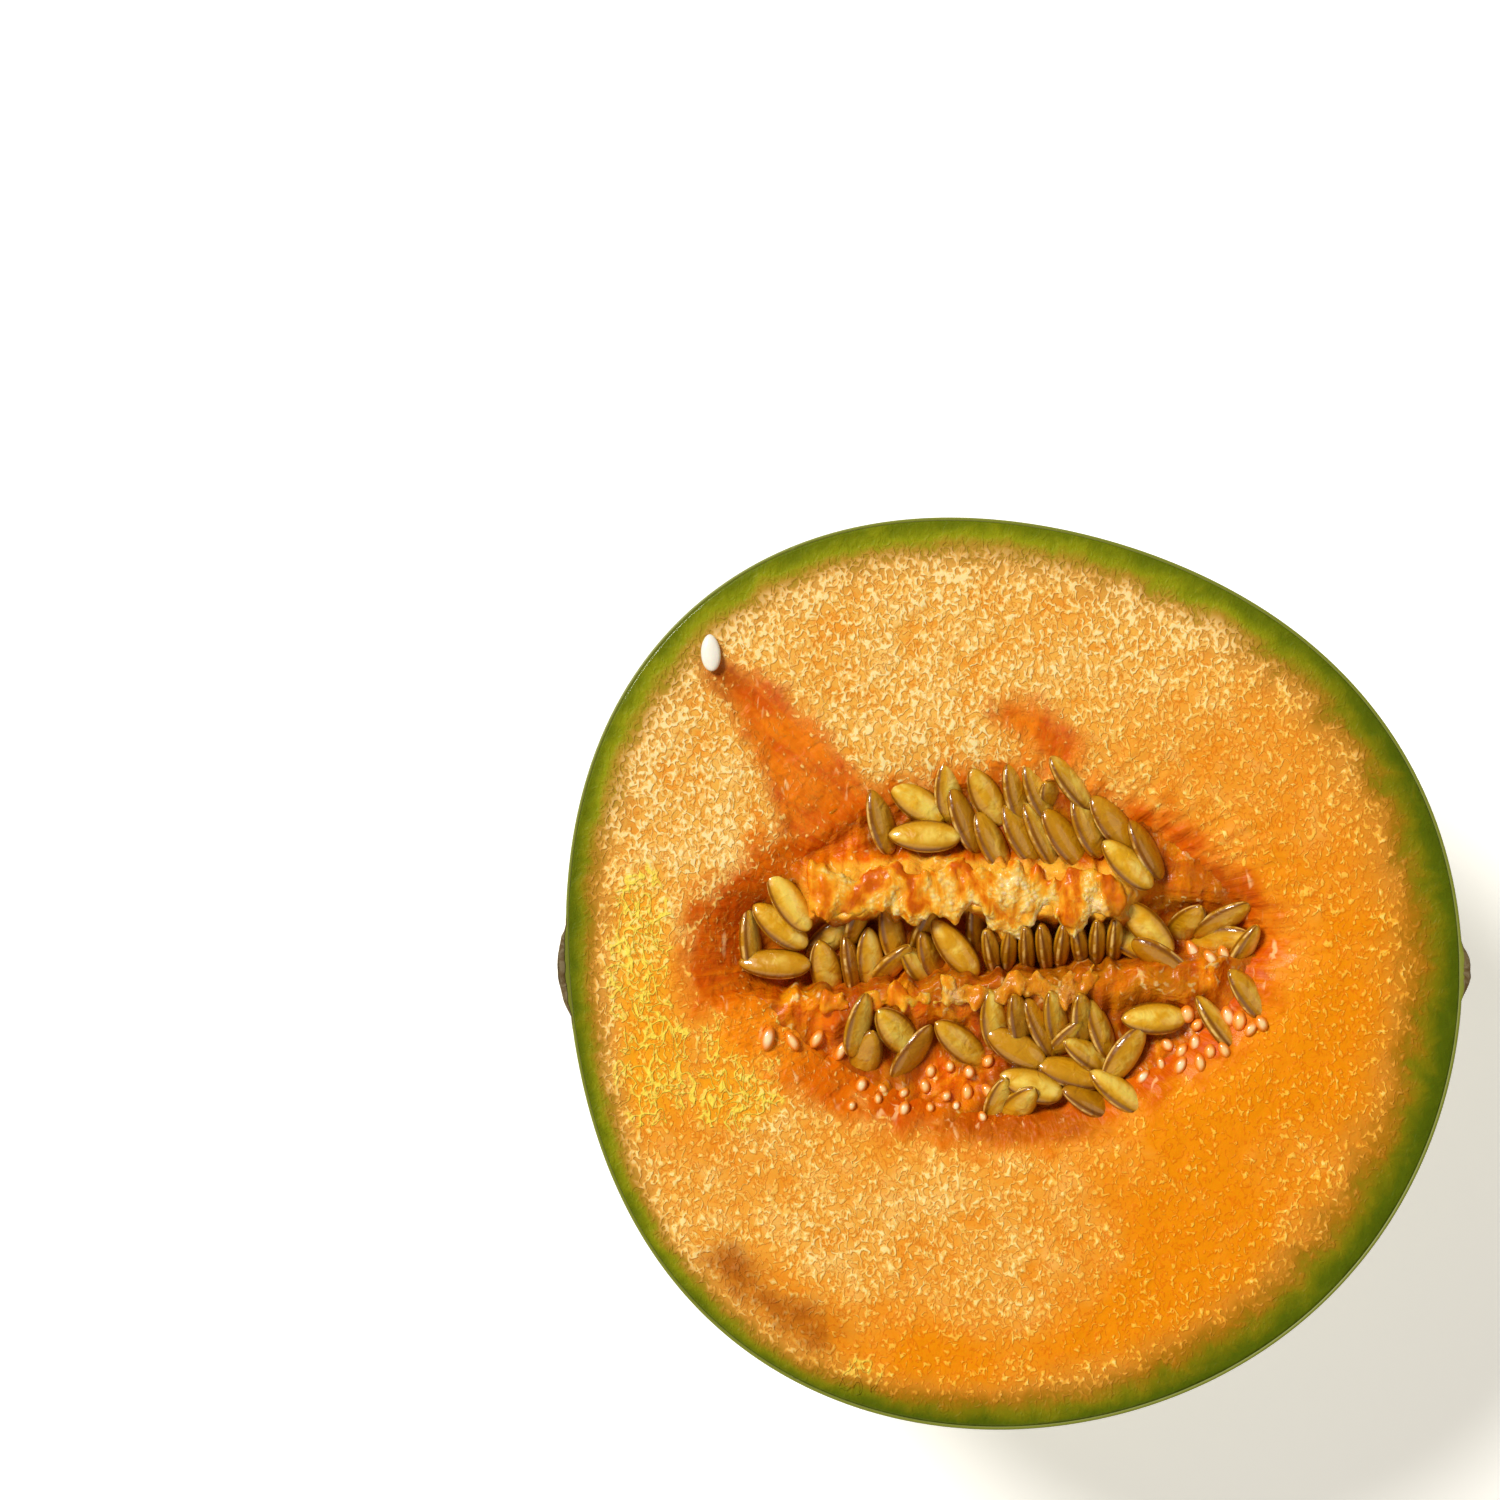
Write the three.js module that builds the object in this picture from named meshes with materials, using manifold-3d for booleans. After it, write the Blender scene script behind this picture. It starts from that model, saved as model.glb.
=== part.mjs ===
// Half of a smooth-skinned, orange-fleshed melon, cut from the blossom end to the stem end.
// It lies on its rind with the cut face up. Millimetres, +Z up, +X towards the stem end.
// The origin is the middle of the small flat spot that it rests on.
import * as THREE from "three";
import { mergeVertices } from "three/addons/utils/BufferGeometryUtils.js";
import Module from "manifold-3d";

const wasm = await Module();
wasm.setup();

// Driving sizes of the half
const FACE_RADIUS = 77.5;
const HEIGHT = 75;
const REST_SPOT_RADIUS = 13;
const RIND_SECTORS = 84;
const RIND_RINGS = 13;

// The cut outline isn't round: each entry is a set of lobes, with its height as a share of the radius
const OUTLINE_LOBES = [
  { count: 2, share: 0.02, toward: -56 },
  { count: 3, share: 0.022, toward: 8 },
  { count: 4, share: 0.0103, toward: 42.5 },
];

// The seed cavity: a long hollow under the face, pinched towards its ends
const CAVITY_CENTRE = new THREE.Vector2(-1, 3.6);
const CAVITY_HALF_LENGTH = 51.5;
const CAVITY_HALF_WIDTH = 33.5;
const CAVITY_PINCH = 1.7;
const CAVITY_DEPTH = 25;
const CAVITY_SECTORS = 54;
const CAVITY_RINGS = 7;
const CAVITY_ROUNDNESS = 0.8;
const HEADROOM = 6;
const WALL_GAP = 0.4;
const PULP_MARGIN = 2;

// The pulp in the cavity, with heights from the cut face. Two ridges run lengthwise, between an upper shelf,
// a deep valley and a lower pocket. A ridge's middle line is a + b x + c x², and a slope is how far it takes
// to fall to the floor beside it
const PULP_STEP = 2.9;
const SHELF_LEVEL = -4.6;
const VALLEY_LEVEL = -10;
const POCKET_LEVEL = -6.2;
const RIM_LEVEL = -1.6;
const UPPER_RIDGE = {
  line: [14, -0.03, -0.002],
  from: -36,
  to: 24,
  top: -1.3,
  halfWidth: 3.4,
  slopeAbove: 4,
  slopeBelow: 3,
};
const LOWER_RIDGE = {
  line: [-2.6, 0.085, 0],
  from: -46,
  to: 42,
  top: -1.9,
  halfWidth: 1,
  slopeAbove: 2.6,
  slopeBelow: 9,
};
const RIDGE_END_FADE = 7;
const CRAG_HEIGHT = 0.45;
const CRAG_PITCH = 3.4;

// A grown seed, and how far its point narrows
const SEED_LENGTH = 11.8;
const SEED_WIDTH = 5.4;
const SEED_THICKNESS = 2.7;
const SEED_SIDES = 6;
const SEED_STEPS = 4;
const SEED_TIP_TAPER = 0.28;

// Each seed: x, y, turn of its point in plan, roll on its edge, dip of its point, lift above the pulp
const UPPER_ROW = [
  [-21.1, 25.3, 106, 45, -12, 0.9],
  [-14.9, 28.7, 145, 5, -8, 0.6],
  [-13.7, 22.9, 178, 15, 0, 2.2],
  [-9.5, 30.4, 95, 30, -15, 0.4],
  [-6.8, 25.5, 113, 48, -10, 0.9],
  [-3.0, 29.6, 120, 10, -15, 0.6],
  [-2.2, 21.9, 117, 40, -8, 1.4],
  [2.0, 29.9, 105, 48, -12, 0.5],
  [2.7, 23.1, 119, 40, -8, 1.3],
  [5.8, 30.3, 115, 45, -15, 0.4],
  [8.4, 29.2, 120, 20, -58, -1.8],
  [6.0, 23.1, 116, 55, -8, 1.1],
  [10.2, 22.5, 125, 28, -8, 1.3],
  [11.2, 32.0, 129, 48, -14, 1.2],
  [14.2, 24.5, 114, 40, -8, 1.1],
  [18.6, 25.0, 129, 25, -8, 1.1],
  [20.8, 18.1, 137, 22, -6, 2.0],
  [24.1, 20.5, 119, 52, -8, 1.3],
];
const STEM_END_SEEDS = [
  [24.9, 6.9, -46, 8, 6, 3.6],
  [21.9, 4.8, 150, 30, 0, 2.4],
  [31.7, 7.2, 60, 10, -42, 1.2],
  [37.6, 8.3, 35, 52, -15, 1.4],
  [37.8, 5.0, 12, 38, -25, 1.4],
  [41.0, 3.2, 63, 62, -20, 0.8],
  [26.9, 1.9, -32, 45, 0, 1.4],
];
const BLOSSOM_END_SEEDS = [
  [-36.7, 11.7, 124, 15, -6, 1.6],
  [-38.3, 7.4, 142, 20, -6, 1.6],
  [-43.4, 4.7, 95, 62, -10, 0.2],
  [-39.2, 0.9, 178, 20, 0, 2.2],
  [-30.4, -0.2, 104, 15, -24, 2.0],
  [-26.1, 0.7, 100, 70, -15, 1.8],
  [-22.8, 1.6, 94, 34, -18, 1.8],
  [-19.2, 0.4, 50, 55, -35, 1.8],
  [-14.3, -0.2, 130, 45, -30, 1.8],
  [-12.3, 1.5, 110, 45, -30, 1.5],
  [-13.4, 6.5, 75, 55, -45, 1.0],
  [-8.3, 3.5, 128, 10, -4, 4.4],
  [-19.0, 5.9, 105, 40, -25, 1.2],
  [-25.2, 8.3, 80, 60, -40, 0.6],
  [-29.2, 5.6, 40, 30, -10, 0.8],
  [-4.5, 6.9, 98, 60, -40, 1.0],
  [5.4, 6.9, 98, 60, -40, 0.8],
];
const LOWER_POCKET_SEEDS = [
  [-24.9, -9.3, 78, 45, -20, 1.0],
  [-18.5, -10.4, 130, 5, -30, 1.2],
  [-23.6, -14.8, 76, 5, -35, 0.8],
  [-15.6, -14.4, 57, 45, -12, 0.8],
  [-7.4, -12.6, 140, 8, -22, 0.8],
  [2.0, -13.3, 150, 10, -4, 3.0],
  [4.6, -19.6, 162, 15, -4, 3.0],
  [11.4, -17.6, 165, 30, -6, 1.6],
  [14.7, -14.8, 150, 40, -28, 1.2],
  [20.6, -14.4, 57, 30, -6, 1.8],
  [25.6, -8.3, 180, 15, -12, 1.8],
  [19.3, -20.7, 144, 38, -4, 1.6],
  [14.8, -22.6, 155, 48, -20, 1.0],
  [-0.8, -22.6, 80, 30, -40, 0.8],
  [2.4, -23.4, 55, 20, -45, 0.8],
  [10.3, -12.4, 55, 48, -38, 1.2],
  [2.6, -8.8, 105, 48, -30, 1.2],
  [6.4, -10.0, 118, 48, -18, 1.2],
  [8.8, -8.4, 105, 45, -35, 1.2],
  [13.4, -8.8, 100, 48, -35, 1.2],
  [16.5, -10.4, 112, 48, -14, 1.4],
  [-1.7, -8.8, 100, 30, -20, 0.8],
  [42.0, -4.5, 130, 35, -12, 1.0],
  [36.4, -9.3, 127, 60, -4, 1.2],
];

// The close row deep in the valley: seeds on edge, side by side, leaning unevenly
const DEEP_ROW = { from: [-1.9, 2.8], to: [19.3, 4.8], count: 8, turn: 100, sway: 9, roll: 70, dip: -48, lift: 2.4 };

// Unripe seeds, still tiny pale beads, in uneven rows along the lower pocket
const BEAD_ROWS = [
  { from: [-40.4, -11.2], to: [-27.8, -13.1], count: 4 },
  { from: [-24.4, -20.2], to: [-2.6, -21.4], count: 7 },
  { from: [-12.5, -17.5], to: [-2.6, -16.5], count: 4 },
  { from: [-26.1, -22.3], to: [-3.7, -24.3], count: 6 },
  { from: [28, -13.1], to: [37.3, -13.4], count: 5 },
  { from: [23.7, -17.5], to: [33.2, -15.3], count: 4 },
  { from: [31.4, -7.6], to: [33.1, -10], count: 2 },
  { from: [38.2, -8.3], to: [43.6, -9.7], count: 4 },
];
const BEAD_RADIUS = 1;
const BEAD_STRETCH = [1.2, 1, 0.9];
const BEAD_SWAY = 0.8;
const BEAD_TURN = 1.7;

// Step of the uneven sway in a row, in radians from one seed or bead to the next
const SWAY_STEP = 2.4;

// An unripe white seed that lies on the face, and two shallow scrapes in the face, each wider at its far end
const STRAY_SEED = { at: [-50.1, 54.1], turn: 94, length: 6.3, width: 3.4, thickness: 1.6, proud: 0.35 };
const SCRAPES = [
  { from: [-48, 50], to: [-27, 22], halfWidth: 5.5, depth: 1.3 },
  { from: [-1, 42.5], to: [13, 37], halfWidth: 3.6, depth: 1.1 },
];
const SCRAPE_WIDENING = 0.4;

// Corky scar at the blossom end, and the stub of the stem at the other: half-axes of the lump under each
const SCAR = { sideways: 10, down: 12, proud: 1.5, below: 4 };
const STEM_STUB = { sideways: 6, down: 7, proud: 1.4, below: 3 };

const radians = (degrees) => (degrees * Math.PI) / 180;
const clamp01 = (value) => Math.min(1, Math.max(0, value));

function smoothStep(low, high, value) {
  const t = clamp01((value - low) / (high - low));
  return t * t * (3 - 2 * t);
}

function outlineRadius(angle) {
  let share = 1;
  for (const lobes of OUTLINE_LOBES) {
    share += lobes.share * Math.cos(lobes.count * (angle - radians(lobes.toward)));
  }
  return FACE_RADIUS * share;
}

function cavityRadius(angle) {
  const along = Math.abs(Math.cos(angle)) / CAVITY_HALF_LENGTH;
  const across = Math.abs(Math.sin(angle)) / CAVITY_HALF_WIDTH;
  return (along ** CAVITY_PINCH + across ** CAVITY_PINCH) ** (-1 / CAVITY_PINCH);
}

// Small uneven lumps, the same every time
function crag(x, y) {
  const u = x / CRAG_PITCH;
  const v = y / CRAG_PITCH;
  return Math.sin(2.1 * u + 1.7 * Math.sin(1.3 * v)) * Math.cos(2.6 * v + 1.4 * Math.sin(1.9 * u));
}

function ridgeLine({ line }, x) {
  const [a, b, c] = line;
  return a + b * x + c * x * x;
}

// How much of a ridge stands at a point: 1 along its top, 0 on the floors beside it and past its ends
function ridgeShare(ridge, x, y) {
  const off = y - ridgeLine(ridge, x);
  const slope = off > 0 ? ridge.slopeAbove : ridge.slopeBelow;
  const across = 1 - smoothStep(ridge.halfWidth, ridge.halfWidth + slope, Math.abs(off));
  const started = smoothStep(ridge.from - RIDGE_END_FADE, ridge.from + RIDGE_END_FADE, x);
  const notEnded = 1 - smoothStep(ridge.to - RIDGE_END_FADE, ridge.to + RIDGE_END_FADE, x);
  return across * started * notEnded;
}

// Height of the pulp's surface, from the cut face
function pulpHeight(x, y) {
  const fromCentre = new THREE.Vector2(x, y).sub(CAVITY_CENTRE);
  const share = Math.min(1, fromCentre.length() / cavityRadius(fromCentre.angle()));
  const aboveUpper = y - ridgeLine(UPPER_RIDGE, x);
  const belowLower = ridgeLine(LOWER_RIDGE, x) - y;
  let height = THREE.MathUtils.lerp(VALLEY_LEVEL, SHELF_LEVEL, smoothStep(-1, 3, aboveUpper));
  height = THREE.MathUtils.lerp(height, POCKET_LEVEL, smoothStep(-1, 3, belowLower));
  height = THREE.MathUtils.lerp(height, RIM_LEVEL, share ** 5);
  for (const ridge of [UPPER_RIDGE, LOWER_RIDGE]) {
    height = THREE.MathUtils.lerp(height, ridge.top, ridgeShare(ridge, x, y));
  }
  return height + CRAG_HEIGHT * crag(x, y);
}

function solidOf(geometry) {
  const bare = geometry.clone();
  bare.deleteAttribute("normal");
  bare.deleteAttribute("uv");
  const merged = mergeVertices(bare, 1e-3);
  const vertProperties = new Float32Array(merged.attributes.position.array);
  return new wasm.Manifold(new wasm.Mesh({ numProp: 3, vertProperties, triVerts: new Uint32Array(merged.index.array) }));
}

function geometryOf(solid) {
  const mesh = solid.getMesh();
  const geometry = new THREE.BufferGeometry();
  geometry.setAttribute("position", new THREE.BufferAttribute(new Float32Array(mesh.vertProperties), 3));
  geometry.setIndex(new THREE.BufferAttribute(new Uint32Array(mesh.triVerts), 1));
  geometry.computeVertexNormals();
  return geometry;
}

// A lathe's round profile, given in shares of a radius, fitted to an outline that changes with the angle
function fittedLathe(profile, sectors, place) {
  const points = profile.map(([share, height]) => new THREE.Vector2(share, height));
  const geometry = new THREE.LatheGeometry(points, sectors);
  geometry.rotateX(Math.PI / 2);
  const position = geometry.attributes.position;
  const at = new THREE.Vector3();
  for (let i = 0; i < position.count; i += 1) {
    at.fromBufferAttribute(position, i);
    const share = Math.hypot(at.x, at.y);
    const angle = share < 1e-6 ? 0 : Math.atan2(at.y, at.x);
    place(at, share, angle);
    position.setXYZ(i, at.x, at.y, at.z);
  }
  const solid = solidOf(geometry);
  return solid.volume() < 0 ? solidOf(turnedInsideOut(geometry)) : solid;
}

function turnedInsideOut(geometry) {
  const turned = geometry.clone();
  turned.setIndex([...geometry.index.array].reverse());
  return turned;
}

// The whole half without its cavity: level shares run from 0 at the cut face to 1 at the resting spot
function melonBody() {
  const fullDepth = HEIGHT / Math.sqrt(1 - (REST_SPOT_RADIUS / FACE_RADIUS) ** 2);
  const steepest = Math.asin(HEIGHT / fullDepth);
  const profile = [[0, -HEIGHT]];
  for (let ring = RIND_RINGS; ring >= 0; ring -= 1) {
    const angle = (steepest * ring) / RIND_RINGS;
    profile.push([Math.cos(angle), -fullDepth * Math.sin(angle)]);
  }
  profile.push([0, 0]);
  return fittedLathe(profile, RIND_SECTORS, (at, share, angle) => {
    const level = clamp01(-at.z / HEIGHT);
    const outline = FACE_RADIUS + (outlineRadius(angle) - FACE_RADIUS) * (1 - level * level);
    at.set(share * outline * Math.cos(angle), share * outline * Math.sin(angle), at.z);
  });
}

// The space that the pulp and seeds may fill, drawn in from the wall by a gap and open above the face
function cavityRoom(gap) {
  const profile = [[0, -CAVITY_DEPTH]];
  for (let ring = 1; ring <= CAVITY_RINGS; ring += 1) {
    const angle = (Math.PI / 2) * (1 - ring / CAVITY_RINGS);
    profile.push([Math.cos(angle) ** CAVITY_ROUNDNESS, -CAVITY_DEPTH * Math.sin(angle)]);
  }
  profile.push([1, HEADROOM], [0, HEADROOM]);
  return fittedLathe(profile, CAVITY_SECTORS, (at, share, angle) => {
    const reach = share * Math.max(0, cavityRadius(angle) - gap);
    const height = at.z < 0 ? at.z * (1 - gap / CAVITY_DEPTH) : at.z;
    at.set(CAVITY_CENTRE.x + reach * Math.cos(angle), CAVITY_CENTRE.y + reach * Math.sin(angle), height);
  });
}

// The pulp's ridges and valleys as the top of a block that reaches down past the cavity's floor
function pulpBlock() {
  const length = 2 * (CAVITY_HALF_LENGTH + PULP_MARGIN);
  const width = 2 * (CAVITY_HALF_WIDTH + PULP_MARGIN);
  const steps = [Math.round(length / PULP_STEP), Math.round(width / PULP_STEP)];
  const geometry = new THREE.BoxGeometry(length, width, 2, ...steps, 1);
  const position = geometry.attributes.position;
  for (let i = 0; i < position.count; i += 1) {
    const x = position.getX(i) + CAVITY_CENTRE.x;
    const y = position.getY(i) + CAVITY_CENTRE.y;
    position.setXYZ(i, x, y, position.getZ(i) > 0 ? pulpHeight(x, y) : -CAVITY_DEPTH - PULP_MARGIN);
  }
  return solidOf(geometry);
}

// A flat almond with its point along +X
function seedGeometry(length, width, thickness) {
  const geometry = new THREE.SphereGeometry(1, SEED_SIDES, SEED_STEPS);
  geometry.rotateZ(-Math.PI / 2);
  const position = geometry.attributes.position;
  for (let i = 0; i < position.count; i += 1) {
    const along = position.getX(i);
    const taper = 1 - SEED_TIP_TAPER * Math.max(0, along) ** 1.5;
    const x = (along * length) / 2;
    position.setXYZ(i, x, (position.getY(i) * taper * width) / 2, (position.getZ(i) * taper * thickness) / 2);
  }
  return geometry;
}

// Turned so that the point heads to turn, dips by dip, and the seed is rolled about its own length
function placedSeed(x, y, z, turn, roll, dip, geometry) {
  const pose = new THREE.Matrix4().makeRotationZ(radians(turn));
  pose.multiply(new THREE.Matrix4().makeRotationY(radians(dip)));
  pose.multiply(new THREE.Matrix4().makeRotationX(radians(roll)));
  pose.setPosition(x, y, z);
  return solidOf(geometry.clone().applyMatrix4(pose));
}

function deepRowSeeds() {
  const seeds = [];
  for (let i = 0; i < DEEP_ROW.count; i += 1) {
    const share = i / (DEEP_ROW.count - 1);
    const x = THREE.MathUtils.lerp(DEEP_ROW.from[0], DEEP_ROW.to[0], share);
    const y = THREE.MathUtils.lerp(DEEP_ROW.from[1], DEEP_ROW.to[1], share);
    const turn = DEEP_ROW.turn + DEEP_ROW.sway * Math.cos(SWAY_STEP * i);
    seeds.push([x, y, turn, DEEP_ROW.roll, DEEP_ROW.dip, DEEP_ROW.lift]);
  }
  return seeds;
}

function seedSolids() {
  const geometry = seedGeometry(SEED_LENGTH, SEED_WIDTH, SEED_THICKNESS);
  const seeds = [...UPPER_ROW, ...STEM_END_SEEDS, ...BLOSSOM_END_SEEDS, ...deepRowSeeds(), ...LOWER_POCKET_SEEDS];
  return seeds.map(([x, y, turn, roll, dip, lift]) =>
    placedSeed(x, y, pulpHeight(x, y) + lift, turn, roll, dip, geometry),
  );
}

function beadSolids() {
  const beads = [];
  for (const { from, to, count } of BEAD_ROWS) {
    for (let i = 0; i < count; i += 1) {
      const share = i / (count - 1);
      const x = THREE.MathUtils.lerp(from[0], to[0], share);
      const y = THREE.MathUtils.lerp(from[1], to[1], share) + BEAD_SWAY * Math.sin(SWAY_STEP * i + from[0]);
      const bead = new THREE.OctahedronGeometry(BEAD_RADIUS, 0).scale(...BEAD_STRETCH);
      bead.rotateZ(BEAD_TURN * i);
      bead.translate(x, y, pulpHeight(x, y) + BEAD_RADIUS / 2);
      beads.push(solidOf(bead));
    }
  }
  return beads;
}

// A long shallow hollow scraped into the face, wider at its far end
function scrapeSolid({ from, to, halfWidth, depth }) {
  const start = new THREE.Vector2(...from);
  const end = new THREE.Vector2(...to);
  const run = end.clone().sub(start);
  const geometry = new THREE.SphereGeometry(1, 20, 10);
  const position = geometry.attributes.position;
  for (let i = 0; i < position.count; i += 1) {
    position.setY(i, position.getY(i) * (1 + SCRAPE_WIDENING * position.getX(i)));
  }
  geometry.scale(run.length() / 2, halfWidth, depth);
  geometry.rotateZ(run.angle());
  geometry.translate((start.x + end.x) / 2, (start.y + end.y) / 2, 0);
  return solidOf(geometry);
}

// A low lump on the rind at one end of the melon, cut off at the face like the rest
function endLump(angle, { sideways, down, proud, below }) {
  const geometry = new THREE.SphereGeometry(1, 20, 12);
  geometry.scale(proud + below, sideways, down);
  geometry.rotateZ(angle);
  const reach = outlineRadius(angle) - below;
  geometry.translate(reach * Math.cos(angle), reach * Math.sin(angle), 0);
  const side = 4 * FACE_RADIUS;
  const underFace = new THREE.BoxGeometry(side, side, side).translate(0, 0, -side / 2);
  return solidOf(geometry).intersect(solidOf(underFace));
}

function straySeedSolid() {
  const { at, turn, length, width, thickness, proud } = STRAY_SEED;
  return placedSeed(at[0], at[1], proud, turn, 0, 0, seedGeometry(length, width, thickness));
}

function flesh() {
  let solid = melonBody().add(endLump(Math.PI, SCAR)).add(endLump(0, STEM_STUB));
  solid = solid.subtract(cavityRoom(0));
  for (const scrape of SCRAPES) {
    solid = solid.subtract(scrapeSolid(scrape));
  }
  return solid.add(straySeedSolid());
}

// The pulp with its seeds, kept inside the cavity, without any loose scrap
function pulpWithSeeds() {
  const joined = wasm.Manifold.union([pulpBlock(), ...seedSolids(), ...beadSolids()]);
  const pieces = joined.intersect(cavityRoom(WALL_GAP)).decompose();
  return pieces.reduce((largest, piece) => (piece.volume() > largest.volume() ? piece : largest));
}

function named(name, solid, material) {
  const mesh = new THREE.Mesh(geometryOf(solid), material);
  mesh.name = name;
  mesh.position.z = HEIGHT;
  return mesh;
}

const fleshMaterial = new THREE.MeshStandardMaterial({ color: 0xf0982a, roughness: 0.45, metalness: 0 });
const pulpMaterial = new THREE.MeshStandardMaterial({ color: 0xb98718, roughness: 0.3, metalness: 0 });

const melonHalf = new THREE.Group();
melonHalf.add(named("melon_flesh", flesh(), fleshMaterial));
melonHalf.add(named("seed_pulp", pulpWithSeeds(), pulpMaterial));

export default melonHalf;
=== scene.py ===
import math

import bpy
import numpy as np
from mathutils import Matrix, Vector


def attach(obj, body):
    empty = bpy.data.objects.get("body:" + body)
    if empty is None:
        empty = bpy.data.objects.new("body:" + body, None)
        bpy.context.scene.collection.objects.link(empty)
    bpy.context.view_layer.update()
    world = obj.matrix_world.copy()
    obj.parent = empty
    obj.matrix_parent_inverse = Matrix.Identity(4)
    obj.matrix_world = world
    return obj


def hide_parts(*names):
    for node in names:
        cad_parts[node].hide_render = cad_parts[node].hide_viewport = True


# Half of a smooth-skinned, orange-fleshed melon that lies on its rind with the cut face up.
# Sizes are millimetres, +X points to the stem end, and MM turns them into Blender's metres.
MM = 0.001
SEED_OF_CHANCE = 7

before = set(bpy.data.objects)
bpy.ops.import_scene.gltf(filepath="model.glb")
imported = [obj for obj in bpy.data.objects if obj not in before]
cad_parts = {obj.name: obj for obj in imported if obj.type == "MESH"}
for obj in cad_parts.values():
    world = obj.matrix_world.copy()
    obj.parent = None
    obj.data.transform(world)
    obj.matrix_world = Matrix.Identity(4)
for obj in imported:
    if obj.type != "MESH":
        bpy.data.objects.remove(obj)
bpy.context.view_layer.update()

# The half and its cut outline, as in the solids
FACE_RADIUS = 77.5
HEIGHT = 75.0
REST_SPOT_RADIUS = 13.0
OUTLINE_LOBES = [(2, 0.02, -56.0), (3, 0.022, 8.0), (4, 0.0103, 42.5)]

# The seed cavity
CAVITY_CENTRE = (-1.0, 3.6)
CAVITY_HALF_LENGTH = 51.5
CAVITY_HALF_WIDTH = 33.5
CAVITY_PINCH = 1.7

# The green layer under the skin: its usual width, and waves of it as for the outline
GREEN_WIDTH = 6.4
GREEN_LOBES = [(1, 2.0, 0.0), (1, 0.55, 90.0), (2, 0.45, 0.0), (2, 0.7, 135.0)]

# How far inside the cavity's edge the deep orange begins, and how the patterns there are drawn out
GRAINS_INWARD = {"all_round": 2.6, "top": 2.2, "top_turn": 75.0, "blossom_end": -4.2, "stem_end": 1.6}
FIBRE_TURN = 0.8
FIBRE_DRAW = 0.16

# The pulp, with heights from the cut face
SHELF_LEVEL = -4.6
VALLEY_LEVEL = -10.0
POCKET_LEVEL = -6.2
RIM_LEVEL = -1.6
LIP_WIDTH = 9.0
UPPER_RIDGE = {
    "line": (14.0, -0.03, -0.002),
    "start": -36.0,
    "end": 24.0,
    "top": -1.3,
    "half_width": 3.4,
    "slope_above": 4.0,
    "slope_below": 3.0,
}
LOWER_RIDGE = {
    "line": (-2.6, 0.085, 0.0),
    "start": -46.0,
    "end": 42.0,
    "top": -1.9,
    "half_width": 1.0,
    "slope_above": 2.6,
    "slope_below": 9.0,
}
RIDGE_END_FADE = 7.0
CRAG_HEIGHT = 0.45
CRAG_PITCH = 3.4

# A grown seed
SEED_LENGTH = 11.8
SEED_WIDTH = 5.4
SEED_THICKNESS = 2.7
SEED_PLUMPNESS = np.array([1.0, 1.06, 1.1])
SEED_ROUNDING = 2.3
SEED_TAPER = 0.72
SEED_SHOULDER = 0.92
SEED_POINTEDNESS = 0.35

# Each seed: x, y, turn of its point in plan, roll on its edge, dip of its point, lift above the pulp
UPPER_ROW = [
    (-21.1, 25.3, 106, 45, -12, 0.9),
    (-14.9, 28.7, 145, 5, -8, 0.6),
    (-13.7, 22.9, 178, 15, 0, 2.2),
    (-9.5, 30.4, 95, 30, -15, 0.4),
    (-6.8, 25.5, 113, 48, -10, 0.9),
    (-3.0, 29.6, 120, 10, -15, 0.6),
    (-2.2, 21.9, 117, 40, -8, 1.4),
    (2.0, 29.9, 105, 48, -12, 0.5),
    (2.7, 23.1, 119, 40, -8, 1.3),
    (5.8, 30.3, 115, 45, -15, 0.4),
    (8.4, 29.2, 120, 20, -58, -1.8),
    (6.0, 23.1, 116, 55, -8, 1.1),
    (10.2, 22.5, 125, 28, -8, 1.3),
    (11.2, 32.0, 129, 48, -14, 1.2),
    (14.2, 24.5, 114, 40, -8, 1.1),
    (18.6, 25.0, 129, 25, -8, 1.1),
    (20.8, 18.1, 137, 22, -6, 2.0),
    (24.1, 20.5, 119, 52, -8, 1.3),
]
STEM_END_SEEDS = [
    (24.9, 6.9, -46, 8, 6, 3.6),
    (21.9, 4.8, 150, 30, 0, 2.4),
    (31.7, 7.4, 60, 10, -50, 0.6),
    (37.6, 8.4, 35, 42, -28, 0.9),
    (37.4, 5.0, 14, 28, -36, 1.0),
    (41.0, 3.2, 66, 55, -34, 0.4),
    (26.9, 1.9, -32, 45, 0, 1.4),
]
BLOSSOM_END_SEEDS = [
    (-36.7, 11.7, 124, 15, -6, 1.6),
    (-38.3, 7.4, 142, 20, -6, 1.6),
    (-43.4, 4.7, 95, 62, -10, 0.2),
    (-39.2, 0.9, 178, 20, 0, 2.2),
    (-30.4, -0.2, 104, 15, -24, 2.0),
    (-26.1, 0.7, 100, 70, -15, 1.8),
    (-22.8, 1.6, 94, 34, -18, 1.8),
    (-19.2, 0.4, 50, 55, -35, 1.8),
    (-14.3, -0.2, 130, 45, -30, 1.8),
    (-12.3, 1.5, 110, 45, -30, 1.5),
    (-13.4, 6.5, 75, 55, -45, 1.0),
    (-8.3, 3.5, 128, 10, -4, 4.4),
    (-19.0, 5.9, 105, 40, -25, 1.2),
    (-25.2, 8.3, 80, 60, -40, 0.6),
    (-29.2, 5.6, 40, 30, -10, 0.8),
    (-4.5, 6.9, 98, 60, -40, 1.0),
    (5.4, 6.9, 98, 60, -40, 0.8),
]
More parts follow.
